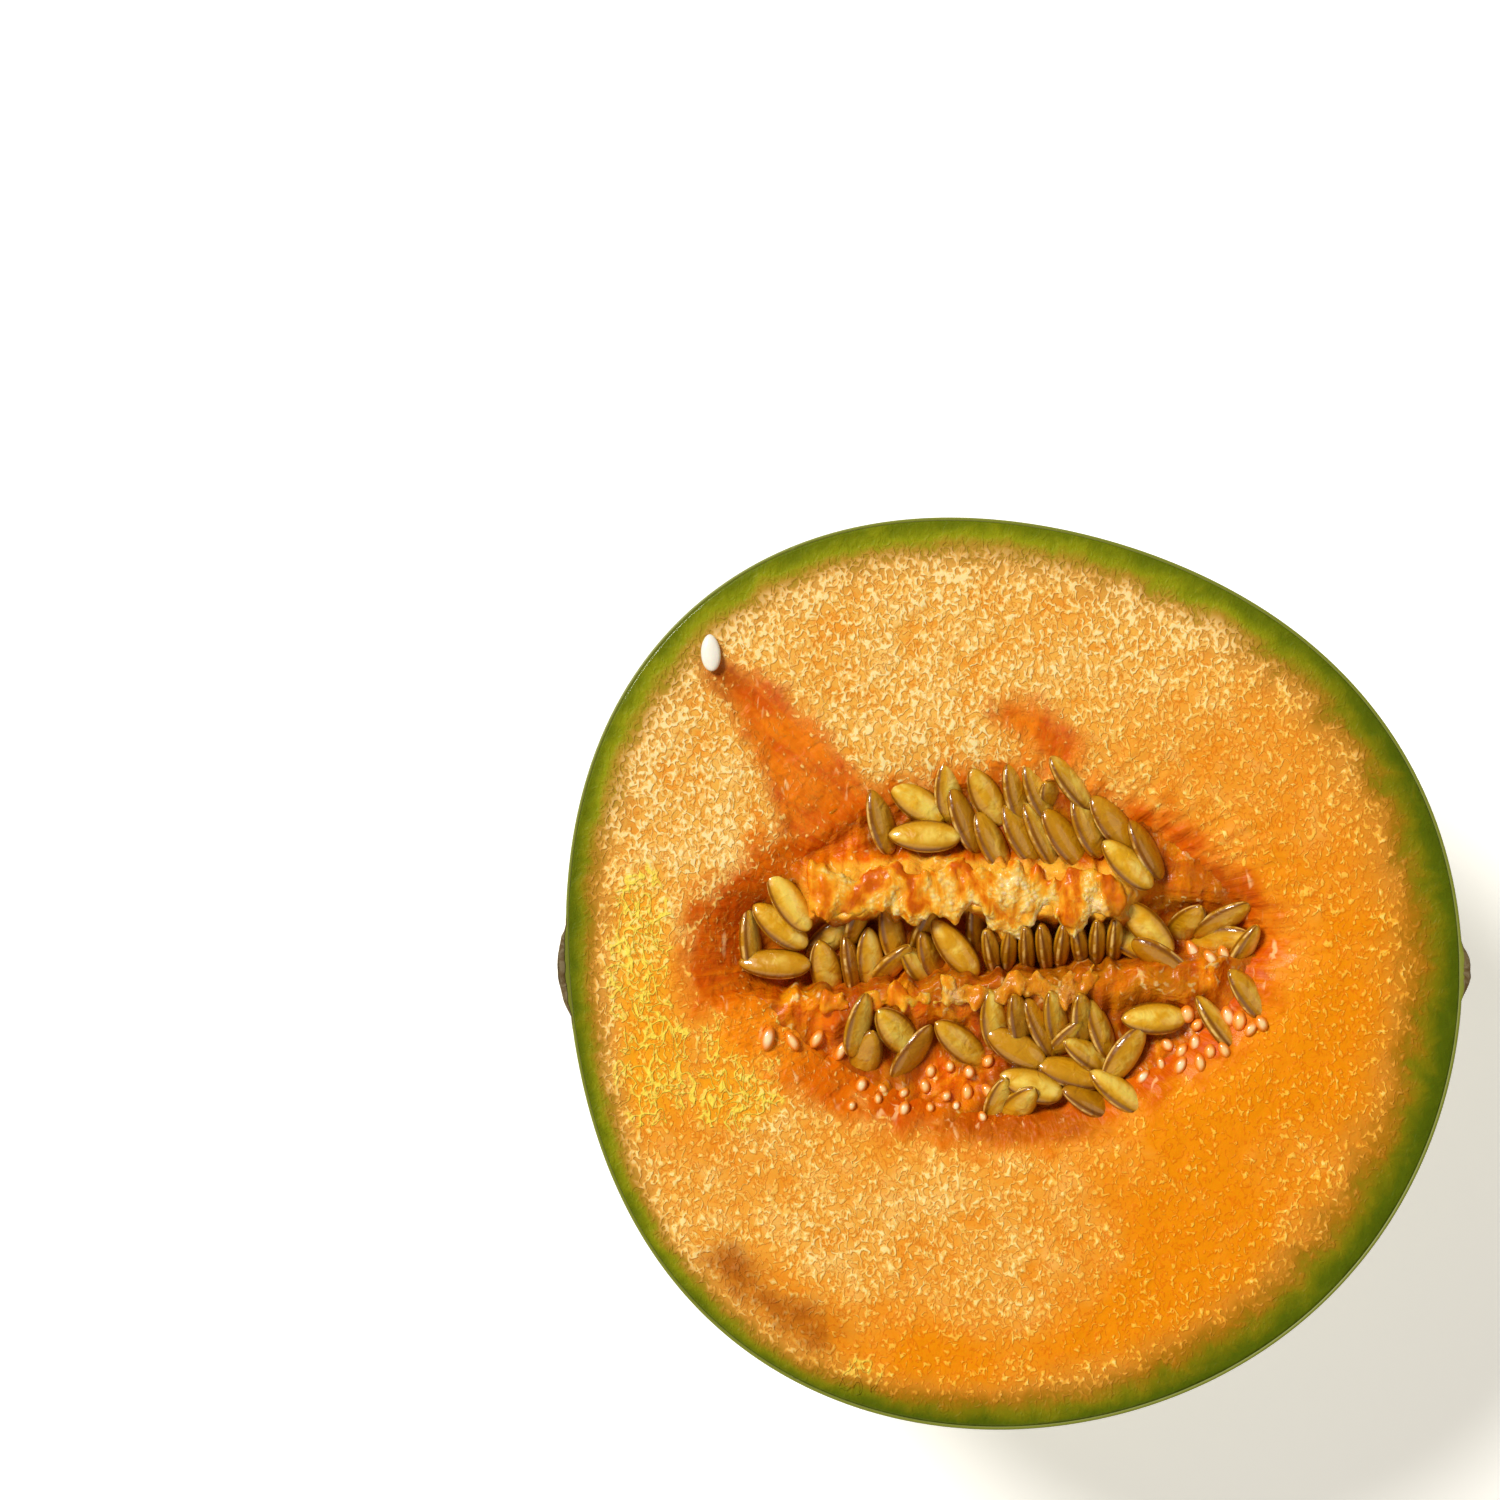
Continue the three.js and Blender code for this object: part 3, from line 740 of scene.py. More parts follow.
def flesh_material():
    material, tree, surface, place = new_material(
        "cut flesh", Coat_Roughness=0.1, Coat_IOR=1.38, IOR=1.38, Specular_IOR_Level=0.12,
        Subsurface_Weight=0.25, Subsurface_Scale=0.0015, Subsurface_Radius=(1.0, 0.5, 0.2),
    )
    slow = place_group(tree, TONE_DRIFT, Place=place, Size=24 * MM, Contrast=1.6).outputs["Tone"]
    blotch = place_group(tree, TONE_DRIFT, Place=place, Size=5.5 * MM, Contrast=2.2).outputs["Tone"]
    off_blotch = minus(tree, blotch, 0.5)
    drift = times(tree, minus(tree, slow, 0.5), 0.7)
    paleness = plus(tree, attribute(tree, "paleness"), drift, clamp=True)

    # Scraped places and the zone round the cavity are smooth, wet and deep orange
    fibre_place = attribute(tree, "fibre_place", True)
    fibres = noise(tree, fibre_place, 1.0 / (1.5 * MM), 3.0, 0.6, 0.3)
    ragged = times(tree, off_blotch, 7.0)
    scrape_edge = maths(tree, "MULTIPLY_ADD", ragged, 0.6, attribute(tree, "scrape_depth"))
    scraped = between(tree, scrape_edge, -3.5, 1.5)
    ragged_gap = plus(tree, attribute(tree, "cavity_gap"), ragged)
    ragged_gap = minus(tree, ragged_gap, times(tree, fibres, 1.5))
    near_cavity = between(tree, ragged_gap, -2.5, 6.0, 1.0, 0.0)
    deep_share = maths(tree, "MAXIMUM", times(tree, scraped, 0.94), near_cavity)
    # Brown spots: partly brown flesh, partly painted shade under the cavity's lower rim and beside the
    # stray seed
    browned_and_shaded = times(tree, attribute(tree, "brown"), between(tree, blotch, 0.1, 0.7, 0.6, 1.0))
    deep_share = maths(tree, "MAXIMUM", deep_share, times(tree, browned_and_shaded, 0.9))
    soft_fibres = plus(tree, times(tree, fibres, 0.5), times(tree, slow, 0.5))
    deep = blend(tree, between(tree, soft_fibres, 0.38, 0.62), srgb(210, 84, 0), srgb(236, 124, 4))
    # Painted shade: darker down the wall just inside the cavity's edge
    deep = blend(tree, between(tree, ragged_gap, 1.5, -2.5, 0.0, 0.3), deep, srgb(204, 88, 2))
    deep = blend(tree, browned_and_shaded, deep, srgb(178, 78, 0))
    # Juicy patches turn the flesh golden: partly the juice's own colour, partly painted glare and painted
    # light on slopes in shade
    wet = attribute(tree, "juice")
    deep = blend(tree, times(tree, wet, 0.7), deep, srgb(255, 150, 14))

    # Paler towards the upper blossom end, deeper and plainer towards the stem end. The paler upper left,
    # where the light comes from, is partly the flesh's own tone and partly painted sheen
    ground = blend(tree, paleness, srgb(238, 145, 2), srgb(242, 182, 78))
    hazy = times(tree, between(tree, blotch, 0.5, 0.9, 0.0, 0.7), paleness)
    ground = blend(tree, hazy, ground, srgb(250, 206, 120))
    ground = blend(tree, between(tree, blotch, 0.42, 0.18, 0.0, 0.55), ground, srgb(238, 142, 8))
    ground = blend(tree, times(tree, wet, 0.7), ground, srgb(250, 172, 18))
    ground = blend(tree, deep_share, ground, deep)

    # Juicy ridges, thick where the flesh is pale and only drops where it's deep orange. Their pale tops
    # are partly pale fibres and partly painted highlights, the brightest painted glints; the dark
    # outlines beside them are painted shade
    cover = maths(tree, "MULTIPLY_ADD", paleness, 0.52, 0.21)
    cover = plus(tree, cover, times(tree, off_blotch, 0.35))
    cover = plus(tree, cover, between(tree, attribute(tree, "rim_share"), 1.0, 3.0, 0.12, 0.0))
    cover = minus(tree, cover, times(tree, deep_share, 0.5))
    cover = minus(tree, cover, times(tree, scraped, 0.22))
    ridges = place_group(tree, WET_RIDGES, Place=place, Size=0.64 * MM, Cover=cover).outputs
    shade = blend(tree, paleness, srgb(226, 114, 0), srgb(208, 124, 30))
    colour = blend(tree, times(tree, ridges["Outlines"], 0.6), ground, shade)
    tops = blend(tree, paleness, srgb(252, 190, 60), srgb(248, 200, 112))
    glints = blend(tree, paleness, srgb(255, 220, 116), srgb(255, 229, 164))
    tops = blend(tree, between(tree, ridges["Height"], 0.82, 0.98), tops, glints)
    tops = blend(tree, times(tree, wet, 0.6), tops, srgb(255, 226, 96))
    colour = blend(tree, ridges["Tops"], colour, tops)

    # Wet curls of juice, painted as bright yellow glints
    pools = place_group(
        tree, WET_RIDGES, Place=place, Size=1.7 * MM, Cover=maths(tree, "MULTIPLY_ADD", wet, 0.5, -0.08),
    ).outputs
    curls = times(tree, pools["Outlines"], 0.85)
    curls = maths(tree, "MAXIMUM", curls, between(tree, pools["Height"], 0.7, 0.95, 0.0, 0.9))
    glossy = times(tree, curls, between(tree, wet, 0.0, 0.3))
    glossy = times(tree, glossy, between(tree, near_cavity, 0.1, 0.8, 1.0, 0.1))
    colour = blend(tree, glossy, colour, srgb(255, 230, 88))

    # Painted highlights: thin glints where the flesh is smooth and wet
    streaked = vector_maths(tree, "MULTIPLY", place, (1.0, 0.5, 1.0))
    shining = place_group(tree, WET_RIDGES, Place=streaked, Size=1.3 * MM, Cover=0.09).outputs
    shine = times(tree, shining["Tops"], between(tree, deep_share, 0.5, 0.9, 0.0, 0.7))
    colour = blend(tree, shine, colour, srgb(255, 206, 140))

    # A brown bruise near the rim
    bruise_edge = times(tree, attribute(tree, "bruise"), plus(tree, 0.35, blotch))
    bruised = between(tree, bruise_edge, 0.1, 1.0)
    colour = blend(tree, times(tree, bruised, 0.9), colour, srgb(176, 92, 2))

    # The firm green layer under the skin, dark outside and fading to tan and orange inwards
    rim = attribute(tree, "rim_share")
    wobble = times(tree, off_blotch, 0.4)
    fine = times(tree, minus(tree, ridges["Height"], 0.3), 0.35)
    fine = times(tree, fine, between(tree, rim, 0.4, 1.2))
    rim = plus(tree, rim, plus(tree, wobble, fine))
    ring_place = times(tree, rim, 0.5, clamp=True)
    light_ring = colour_ramp(tree, ring_place, [
        (0.0, srgb(100, 112, 6)),
        (0.1, srgb(112, 122, 6)),
        (0.25, srgb(148, 152, 14)),
        (0.4, srgb(176, 142, 38)),
        (0.6, srgb(212, 156, 70)),
        (1.0, srgb(232, 168, 74)),
    ])
    dark_ring = colour_ramp(tree, ring_place, [
        (0.0, srgb(72, 88, 2)),
        (0.14, srgb(84, 98, 2)),
        (0.28, srgb(124, 117, 4)),
        (0.44, srgb(170, 116, 12)),
        (0.6, srgb(208, 136, 36)),
        (1.0, srgb(224, 142, 28)),
    ])
    # The layer is lighter where the face is paler, so on the light's side it is partly painted sheen, and
    # the ridges' painted highlights reach into its inner part
    green = blend(tree, paleness, dark_ring, light_ring)
    green = blend(tree, times(tree, ridges["Tops"], between(tree, rim, 0.9, 1.8, 0.0, 0.8)), green, tops)
    colour = blend(tree, between(tree, rim, 0.8, 2.0, 1.0, 0.0), colour, green)
    tree.links.new(colour, surface.inputs["Base Color"])

    rough = minus(tree, 0.45, times(tree, deep_share, 0.08))
    tree.links.new(rough, surface.inputs["Roughness"])
    wet_coat = between(tree, attribute(tree, "cavity_gap"), 1.0, 13.0, 0.03, 0.4)
    tree.links.new(wet_coat, surface.inputs["Coat Weight"])

    # Relief in millimetres
    in_green = between(tree, rim, 0.2, 1.1, 0.25, 1.0)
    relief = times(tree, times(tree, ridges["Height"], in_green), 0.16)
    gel = noise(tree, place, 1.0 / (2.6 * MM), 1.0, 0.5, 0.6)
    strung = plus(tree, times(tree, fibres, 0.35), times(tree, gel, 0.7))
    relief = plus(tree, relief, times(tree, strung, deep_share))
    relief = plus(tree, relief, times(tree, blotch, 0.22))
    relief = plus(tree, relief, times(tree, glossy, 0.2))
    bump(tree, surface, relief, MM)
    return material


def rind_material():
    material, tree, surface, place = new_material(
        "waxy rind", Coat_Weight=0.12, Coat_Roughness=0.35, IOR=1.42,
        Subsurface_Weight=0.05, Subsurface_Scale=0.002, Subsurface_Radius=(0.8, 1.0, 0.3),
    )
    slow = place_group(tree, TONE_DRIFT, Place=place, Size=26 * MM, Contrast=2.0).outputs["Tone"]
    blotch = place_group(tree, TONE_DRIFT, Place=place, Size=7 * MM, Contrast=2.4).outputs["Tone"]
    streak_place = attribute(tree, "pole_place", True)
    streaks = noise(tree, streak_place, 1.0 / (2.6 * MM), 4.0, 0.6, 0.2)
    colour = blend(tree, slow, srgb(146, 146, 102), srgb(166, 166, 118))
    colour = blend(tree, between(tree, blotch, 0.55, 0.9, 0.0, 0.6), colour, srgb(126, 132, 78))
    colour = blend(tree, between(tree, streaks, 0.5, 0.72, 0.0, 0.5), colour, srgb(176, 178, 138))
    colour = blend(tree, between(tree, streaks, 0.46, 0.3, 0.0, 0.5), colour, srgb(116, 122, 76))

    # Greener towards the cut
    below = attribute(tree, "below_face")
    near_cut = between(tree, plus(tree, below, times(tree, blotch, 5.0)), 2.0, 14.0, 1.0, 0.0)
    colour = blend(tree, times(tree, near_cut, 0.6), colour, srgb(118, 130, 52))

    # Pores with pale rings, dark flecks and a few brownish rubs
    pores = place_group(tree, SPECKS, Place=place, Spacing=4.6 * MM, Reach=0.16, Share=0.4).outputs
    flecks = place_group(tree, SPECKS, Place=place, Spacing=9 * MM, Reach=0.1, Share=0.35).outputs
    colour = blend(tree, times(tree, pores["Ring"], 0.5), colour, srgb(184, 178, 140))
    colour = blend(tree, times(tree, pores["Mark"], 0.6), colour, srgb(108, 104, 62))
    colour = blend(tree, times(tree, flecks["Mark"], 0.8), colour, srgb(70, 68, 40))
    rubs = place_group(tree, TONE_DRIFT, Place=place, Size=13 * MM, Contrast=3.0).outputs["Tone"]
    colour = blend(tree, between(tree, rubs, 0.86, 1.0, 0.0, 0.3), colour, srgb(152, 136, 80))

    # The cut edge of the skin is a pale line
    colour = blend(tree, attribute(tree, "cut_edge"), colour, srgb(122, 130, 34))

    # Cork: brown and grey, wrinkled, with a ragged border
    cork = attribute(tree, "cork")
    winding = noise(tree, place, 1.0 / (2.2 * MM), 5.0, 0.6, 1.2)
    cork_edge = plus(tree, cork, times(tree, minus(tree, winding, 0.5), 0.5))
    corky = between(tree, cork_edge, 0.3, 0.42)
    cork_colour = blend(tree, between(tree, winding, 0.4, 0.62), srgb(92, 70, 32), srgb(124, 110, 78))
    cork_colour = blend(tree, between(tree, cork_edge, 0.9, 1.1), cork_colour, srgb(70, 52, 24))
    colour = blend(tree, corky, colour, cork_colour)

    tree.links.new(colour, surface.inputs["Base Color"])
    rough = plus(tree, 0.4, times(tree, corky, 0.4))
    tree.links.new(plus(tree, rough, times(tree, streaks, 0.12)), surface.inputs["Roughness"])
    fine = noise(tree, place, 1.0 / (0.7 * MM), 3.0)
    relief = plus(tree, times(tree, streaks, 0.3), times(tree, fine, 0.25))
    relief = minus(tree, relief, times(tree, pores["Mark"], 0.3))
    relief = plus(tree, relief, times(tree, corky, times(tree, winding, 2.4)))
    bump(tree, surface, relief, 0.25 * MM, 0.8)
    return material


def pulp_material():
    material, tree, surface, place = new_material(
        "wet pulp", Coat_Weight=0.18, Coat_Roughness=0.12, Coat_IOR=1.38, IOR=1.38,
        Specular_IOR_Level=0.15, Subsurface_Weight=0.5, Subsurface_Scale=0.002,
        Subsurface_Radius=(1.0, 0.4, 0.08),
    )
    pale = attribute(tree, "pale")
    fibre_place = attribute(tree, "fibre_place", True)
    fibres = noise(tree, fibre_place, 1.0 / (1.8 * MM), 2.0, 0.5, 0.4)
    blotch = place_group(tree, TONE_DRIFT, Place=place, Size=6 * MM, Contrast=2.4).outputs["Tone"]
    off_blotch = minus(tree, blotch, 0.5)
    cover = maths(tree, "MULTIPLY_ADD", off_blotch, 0.3, 0.14)
    glints = place_group(tree, WET_RIDGES, Place=place, Size=1.1 * MM, Cover=cover).outputs
    deep = blend(tree, between(tree, fibres, 0.3, 0.7), srgb(222, 92, 0), srgb(246, 138, 4))
    deep = blend(tree, between(tree, blotch, 0.45, 0.85, 0.0, 0.8), deep, srgb(255, 170, 18))
    # Brown spots: partly brown pulp, partly painted shade by the torn stem end and under the lower rim
    brown = times(tree, attribute(tree, "brown"), between(tree, blotch, 0.2, 0.7, 0.5, 0.95))
    deep = blend(tree, brown, deep, srgb(196, 116, 8))
    share = between(tree, plus(tree, pale, times(tree, blotch, 0.4)), 0.6, 1.1)
    colour = blend(tree, share, deep, srgb(248, 176, 50))
    # Painted highlights: short cream glints on the wet pulp
    colour = blend(tree, times(tree, glints["Tops"], 0.8), colour, srgb(255, 220, 140))
    # Painted shade: the pulp darkens deeper in the valley. Beside the seeds it is dark juice and painted
    # shade, made lighter at the deepest as painted light against the shadow there
    depth = attribute(tree, "depth")
    colour = blend(tree, between(tree, depth, 6.0, 11.0, 0.0, 0.8), colour, srgb(184, 88, 6))
    shaded = times(tree, attribute(tree, "among_seeds"), between(tree, blotch, 0.0, 0.7, 0.95, 0.65))
    gel = blend(tree, between(tree, depth, 5.5, 8.5), srgb(130, 50, 0), srgb(206, 112, 14))
    colour = blend(tree, shaded, colour, gel)
    # Painted shade: the pulp is darker next to the flesh's slope, to match the slope's shade
    near_flesh = times(tree, attribute(tree, "near_flesh"), between(tree, fibres, 0.7, 0.3, 0.3, 1.0))
    colour = blend(tree, near_flesh, colour, srgb(184, 88, 4))
    tree.links.new(colour, surface.inputs["Base Color"])
    rough = plus(tree, 0.35, times(tree, share, 0.15))
    tree.links.new(rough, surface.inputs["Roughness"])
    relief = plus(tree, times(tree, fibres, 0.3), times(tree, glints["Height"], 0.1))
    relief = plus(tree, relief, times(tree, blotch, 0.8))
    bump(tree, surface, relief, MM)
    return material


def crumb_material():
    material, tree, surface, place = new_material(
        "torn pulp", Coat_Weight=0.35, Coat_Roughness=0.15, Coat_IOR=1.38, IOR=1.38, Roughness=0.45,
        Specular_IOR_Level=0.15, Subsurface_Weight=0.7, Subsurface_Scale=0.002,
        Subsurface_Radius=(1.0, 0.6, 0.25),
    )
    tone = attribute(tree, "tone")
    stringy = attribute(tree, "stringy")
    blotch = place_group(tree, TONE_DRIFT, Place=place, Size=3.2 * MM, Contrast=2.2).outputs["Tone"]
    drift = colour_noise(tree, place, 1.0 / (7 * MM), 1.0)
    bend = vector_maths(tree, "SUBTRACT", drift, (0.5, 0.5, 0.5))
    bent = vector_maths(tree, "ADD", place, scaled(tree, bend, 6 * MM))
    drawn = vector_maths(tree, "MULTIPLY", bent, (1.0, 0.5, 1.0))
    folds = noise(tree, drawn, 1.0 / (3.4 * MM), 1.0, 0.5, 0.3)
    strings = noise(tree, drawn, 1.0 / (1.1 * MM), 2.0, 0.6, 0.5)
    shaken = vector_maths(tree, "ADD", place, scaled(tree, bend, 1.5 * MM))
    grains = between(tree, cells(tree, shaken, 1.0 / (0.9 * MM)).outputs["Distance"], 0.8, 0.1)
    mixed = plus(tree, tone, times(tree, minus(tree, blotch, 0.5), 0.35))
    streaked = times(tree, minus(tree, folds, 0.5), 2.2)
    streaked = plus(tree, streaked, times(tree, minus(tree, strings, 0.5), 0.8))
    mixed = plus(tree, mixed, times(tree, streaked, stringy))
    crumbly = between(tree, mixed, 0.3, 0.7)
    grained = times(tree, minus(tree, grains, 0.5), plus(tree, crumbly, 0.05))
    mixed = plus(tree, mixed, times(tree, grained, 0.35))
    colour = colour_ramp(tree, mixed, [
        (0.0, srgb(208, 100, 2)),
        (0.2, srgb(230, 130, 6)),
        (0.4, srgb(244, 168, 34)),
        (0.6, srgb(246, 196, 92)),
        (0.8, srgb(250, 212, 128)),
        (1.0, srgb(250, 214, 156)),
    ])
    brown = times(tree, attribute(tree, "brown"), between(tree, blotch, 0.2, 0.7, 0.4, 0.85))
    colour = blend(tree, brown, colour, srgb(200, 124, 14))
    tree.links.new(colour, surface.inputs["Base Color"])
    relief = times(tree, times(tree, grains, crumbly), 0.24)
    strung = plus(tree, times(tree, folds, 0.3), times(tree, strings, 0.2))
    relief = plus(tree, relief, times(tree, strung, stringy))
    bump(tree, surface, relief, MM)
    return material


def seed_material():
    material, tree, surface, place = new_material(
        "wet seed coat", Coat_Weight=1.0, Coat_Roughness=0.08, Coat_IOR=1.5, IOR=1.45, Roughness=0.4,
        Specular_IOR_Level=0.35, Subsurface_Weight=0.3, Subsurface_Scale=0.0012,
        Subsurface_Radius=(1.0, 0.7, 0.2),
    )
    tone = attribute(tree, "tone")
    margin = attribute(tree, "margin")
    along = attribute(tree, "along")
    blotch = place_group(tree, TONE_DRIFT, Place=place, Size=3 * MM, Contrast=2.0).outputs["Tone"]
    body = blend(tree, tone, srgb(180, 118, 0), srgb(236, 178, 22))
    # Painted shade: each seed darker towards its edges
    body = blend(tree, between(tree, margin, 0.3, 0.85, 0.0, 0.5), body, srgb(152, 94, 0))
    # Painted highlight: pale patches down each seed's middle
    middle = between(tree, margin, 0.1, 0.7, 1.0, 0.0)
    highlight_patches = between(tree, times(tree, blotch, tone), 0.15, 0.6)
    body = blend(tree, times(tree, middle, highlight_patches), body, srgb(244, 214, 96))
    # A dark line just inside the margin: partly the coat's dark edge, partly painted shade
    line_inside = between(tree, margin, 0.72, 0.9, 0.0, 0.85)
    line_outside = between(tree, margin, 0.93, 0.985, 1.0, 0.15)
    body = blend(tree, times(tree, line_inside, line_outside), body, srgb(118, 62, 0))
    film = noise(tree, place, 1.0 / (2.2 * MM), 2.0, 0.5, 0.6)
    # Painted highlight: a pale glint line along the very edge
    rim = times(tree, between(tree, margin, 0.955, 0.985), between(tree, film, 0.45, 0.6, 0.0, 0.7))
    body = blend(tree, rim, body, srgb(240, 204, 120))
    tip = between(tree, along, 0.86, 1.0, 0.0, 0.5)
    body = blend(tree, tip, body, srgb(128, 76, 4))
    tree.links.new(body, surface.inputs["Base Color"])
    bump(tree, surface, film, 0.6 * MM, 0.7)
    return material


def bead_material():
    material, tree, surface, _ = new_material(
        "unripe seeds", Coat_Weight=1.0, Coat_Roughness=0.06, IOR=1.4, Roughness=0.3,
        Subsurface_Weight=0.3, Subsurface_Scale=0.001, Subsurface_Radius=(1.0, 0.6, 0.3),
    )
    tone = attribute(tree, "tone")
    across = attribute(tree, "across")
    along = attribute(tree, "along")
    squares = plus(tree, maths(tree, "POWER", across, 2.0), maths(tree, "POWER", along, 2.0))
    off_core = maths(tree, "SQRT", squares)
    core = blend(tree, tone, srgb(255, 204, 122), srgb(255, 240, 200))
    colour = blend(tree, between(tree, off_core, 0.15, 0.85), core, srgb(244, 138, 22))
    tree.links.new(colour, surface.inputs["Base Color"])
    return material


def stray_material():
    material, tree, surface, place = new_material(
        "white seed", Coat_Weight=0.7, Coat_Roughness=0.1, IOR=1.42, Roughness=0.35,
        Subsurface_Weight=0.15, Subsurface_Scale=0.001,
    )
    drift = place_group(tree, TONE_DRIFT, Place=place, Size=1.5 * MM, Contrast=1.2).outputs["Tone"]
    colour = blend(tree, drift, srgb(250, 244, 228), srgb(255, 253, 246))
    tree.links.new(colour, surface.inputs["Base Color"])
    return material


def floor_material():
    material, tree, surface, place = new_material("pale table", Roughness=0.6, IOR=1.4)
    drift = place_group(tree, TONE_DRIFT, Place=place, Size=300 * MM, Contrast=0.5).outputs["Tone"]
    colour = blend(tree, drift, srgb(236, 236, 234), srgb(244, 244, 242))
    tree.links.new(colour, surface.inputs["Base Color"])
    surface.inputs["Emission Color"].default_value = srgb(255, 255, 252)
    surface.inputs["Emission Strength"].default_value = 0.45
    return material


# Geometry Nodes

def geometry_tree(name, inputs):
    tree = bpy.data.node_groups.new(name, "GeometryNodeTree")
    tree.interface.new_socket(name="Geometry", in_out="INPUT", socket_type="NodeSocketGeometry")
    for key, kind, usual in inputs:
        socket = tree.interface.new_socket(name=key, in_out="INPUT", socket_type=f"NodeSocket{kind}")
        if usual is not None:
            socket.default_value = usual
    tree.interface.new_socket(name="Geometry", in_out="OUTPUT", socket_type="NodeSocketGeometry")
    return tree, tree.nodes.new("NodeGroupInput"), tree.nodes.new("NodeGroupOutput")


def stored(tree, key, kind="FLOAT"):
    made = node(tree, "GeometryNodeInputNamedAttribute", {"data_type": kind}, Name=key)
    return made.outputs["Attribute"]


def merged_lumps_tree():
    """Puts a lump on every point, melts the lumps into one mass and roughens it."""
    tree, given, result = geometry_tree("merged lumps", [
        ("Shape", "Object", None),
        ("Fineness", "Float", 0.26 * MM),
        ("Melting", "Int", 14),
        ("Lump Size", "Float", 3.0 * MM),
        ("Lump Height", "Float", 1.1 * MM),
        ("Crumb Size", "Float", 0.9 * MM),
        ("Crumb Height", "Float", 0.36 * MM),
        ("Material", "Material", None),
    ])
    placed = shapes_on_points(tree, given, stored(tree, "sized", "FLOAT_VECTOR"))
    loose = node(tree, "GeometryNodeRealizeInstances", Geometry=placed)
    by_size = {"resolution_mode": "VOXEL_SIZE"}
    solid = node(tree, "GeometryNodeMeshToVolume", by_size, Mesh=loose.outputs[0])
    tree.links.new(given.outputs["Fineness"], solid.inputs["Voxel Size"])
    solid.inputs["Interior Band Width"].default_value = 0.5 * MM
    mass = node(tree, "GeometryNodeVolumeToMesh", by_size, Volume=solid.outputs[0])
    tree.links.new(given.outputs["Fineness"], mass.inputs["Voxel Size"])
    place = tree.nodes.new("GeometryNodeInputPosition").outputs[0]
    melted = node(tree, "GeometryNodeBlurAttribute", {"data_type": "FLOAT_VECTOR"}, Value=place)
    tree.links.new(given.outputs["Melting"], melted.inputs["Iterations"])
    smooth_mass = node(
        tree, "GeometryNodeSetPosition", Geometry=mass.outputs[0], Position=melted.outputs[0],
    )
    drawn = vector_maths(tree, "MULTIPLY", place, (1.0, 0.6, 1.0))
    lump_scale = maths(tree, "DIVIDE", 1.0, given.outputs["Lump Size"])
    lumps = minus(tree, noise(tree, drawn, lump_scale, 1.0, 0.5, 0.3), 0.5)
    crumb_scale = maths(tree, "DIVIDE", 1.0, given.outputs["Crumb Size"])
    crumbs = minus(tree, noise(tree, place, crumb_scale, 2.0, 0.6, 0.3), 0.5)
    height = times(tree, lumps, given.outputs["Lump Height"])
    height = maths(tree, "MULTIPLY_ADD", crumbs, given.outputs["Crumb Height"], height)
    finish_tree(tree, lifted(tree, smooth_mass.outputs[0], height), given, result)
    return tree


def finish_tree(tree, geometry, given, result):
    """Every tree ends in Realize Instances and Set Material."""
    realized = node(tree, "GeometryNodeRealizeInstances", Geometry=geometry)
    finished = node(tree, "GeometryNodeSetMaterial", Geometry=realized.outputs[0])
    tree.links.new(given.outputs["Material"], finished.inputs["Material"])
    tree.links.new(finished.outputs[0], result.inputs["Geometry"])


def made_by(piece, tree, **values):
    """Runs a Geometry Nodes tree on a piece and keeps the result as its plain mesh."""
    modifier = piece.modifiers.new(tree.name, "NODES")
    modifier.node_group = tree
    for item in tree.interface.items_tree:
        key = item.name.replace(" ", "_")
        if item.item_type == "SOCKET" and item.in_out == "INPUT" and key in values:
            modifier[item.identifier] = values[key]
    evaluated = piece.evaluated_get(bpy.context.evaluated_depsgraph_get())
    result = bpy.data.meshes.new_from_object(evaluated)
    piece.modifiers.clear()
    old = piece.data
    piece.data = result
    result.name = piece.name
    bpy.data.meshes.remove(old)
    result.shade_smooth()
    return piece


def lifted(tree, geometry, height):
    """Moves points along their normals by a height."""
    normal = tree.nodes.new("GeometryNodeInputNormal").outputs[0]
    return node(
        tree, "GeometryNodeSetPosition", Geometry=geometry, Offset=scaled(tree, normal, height),
    ).outputs[0]


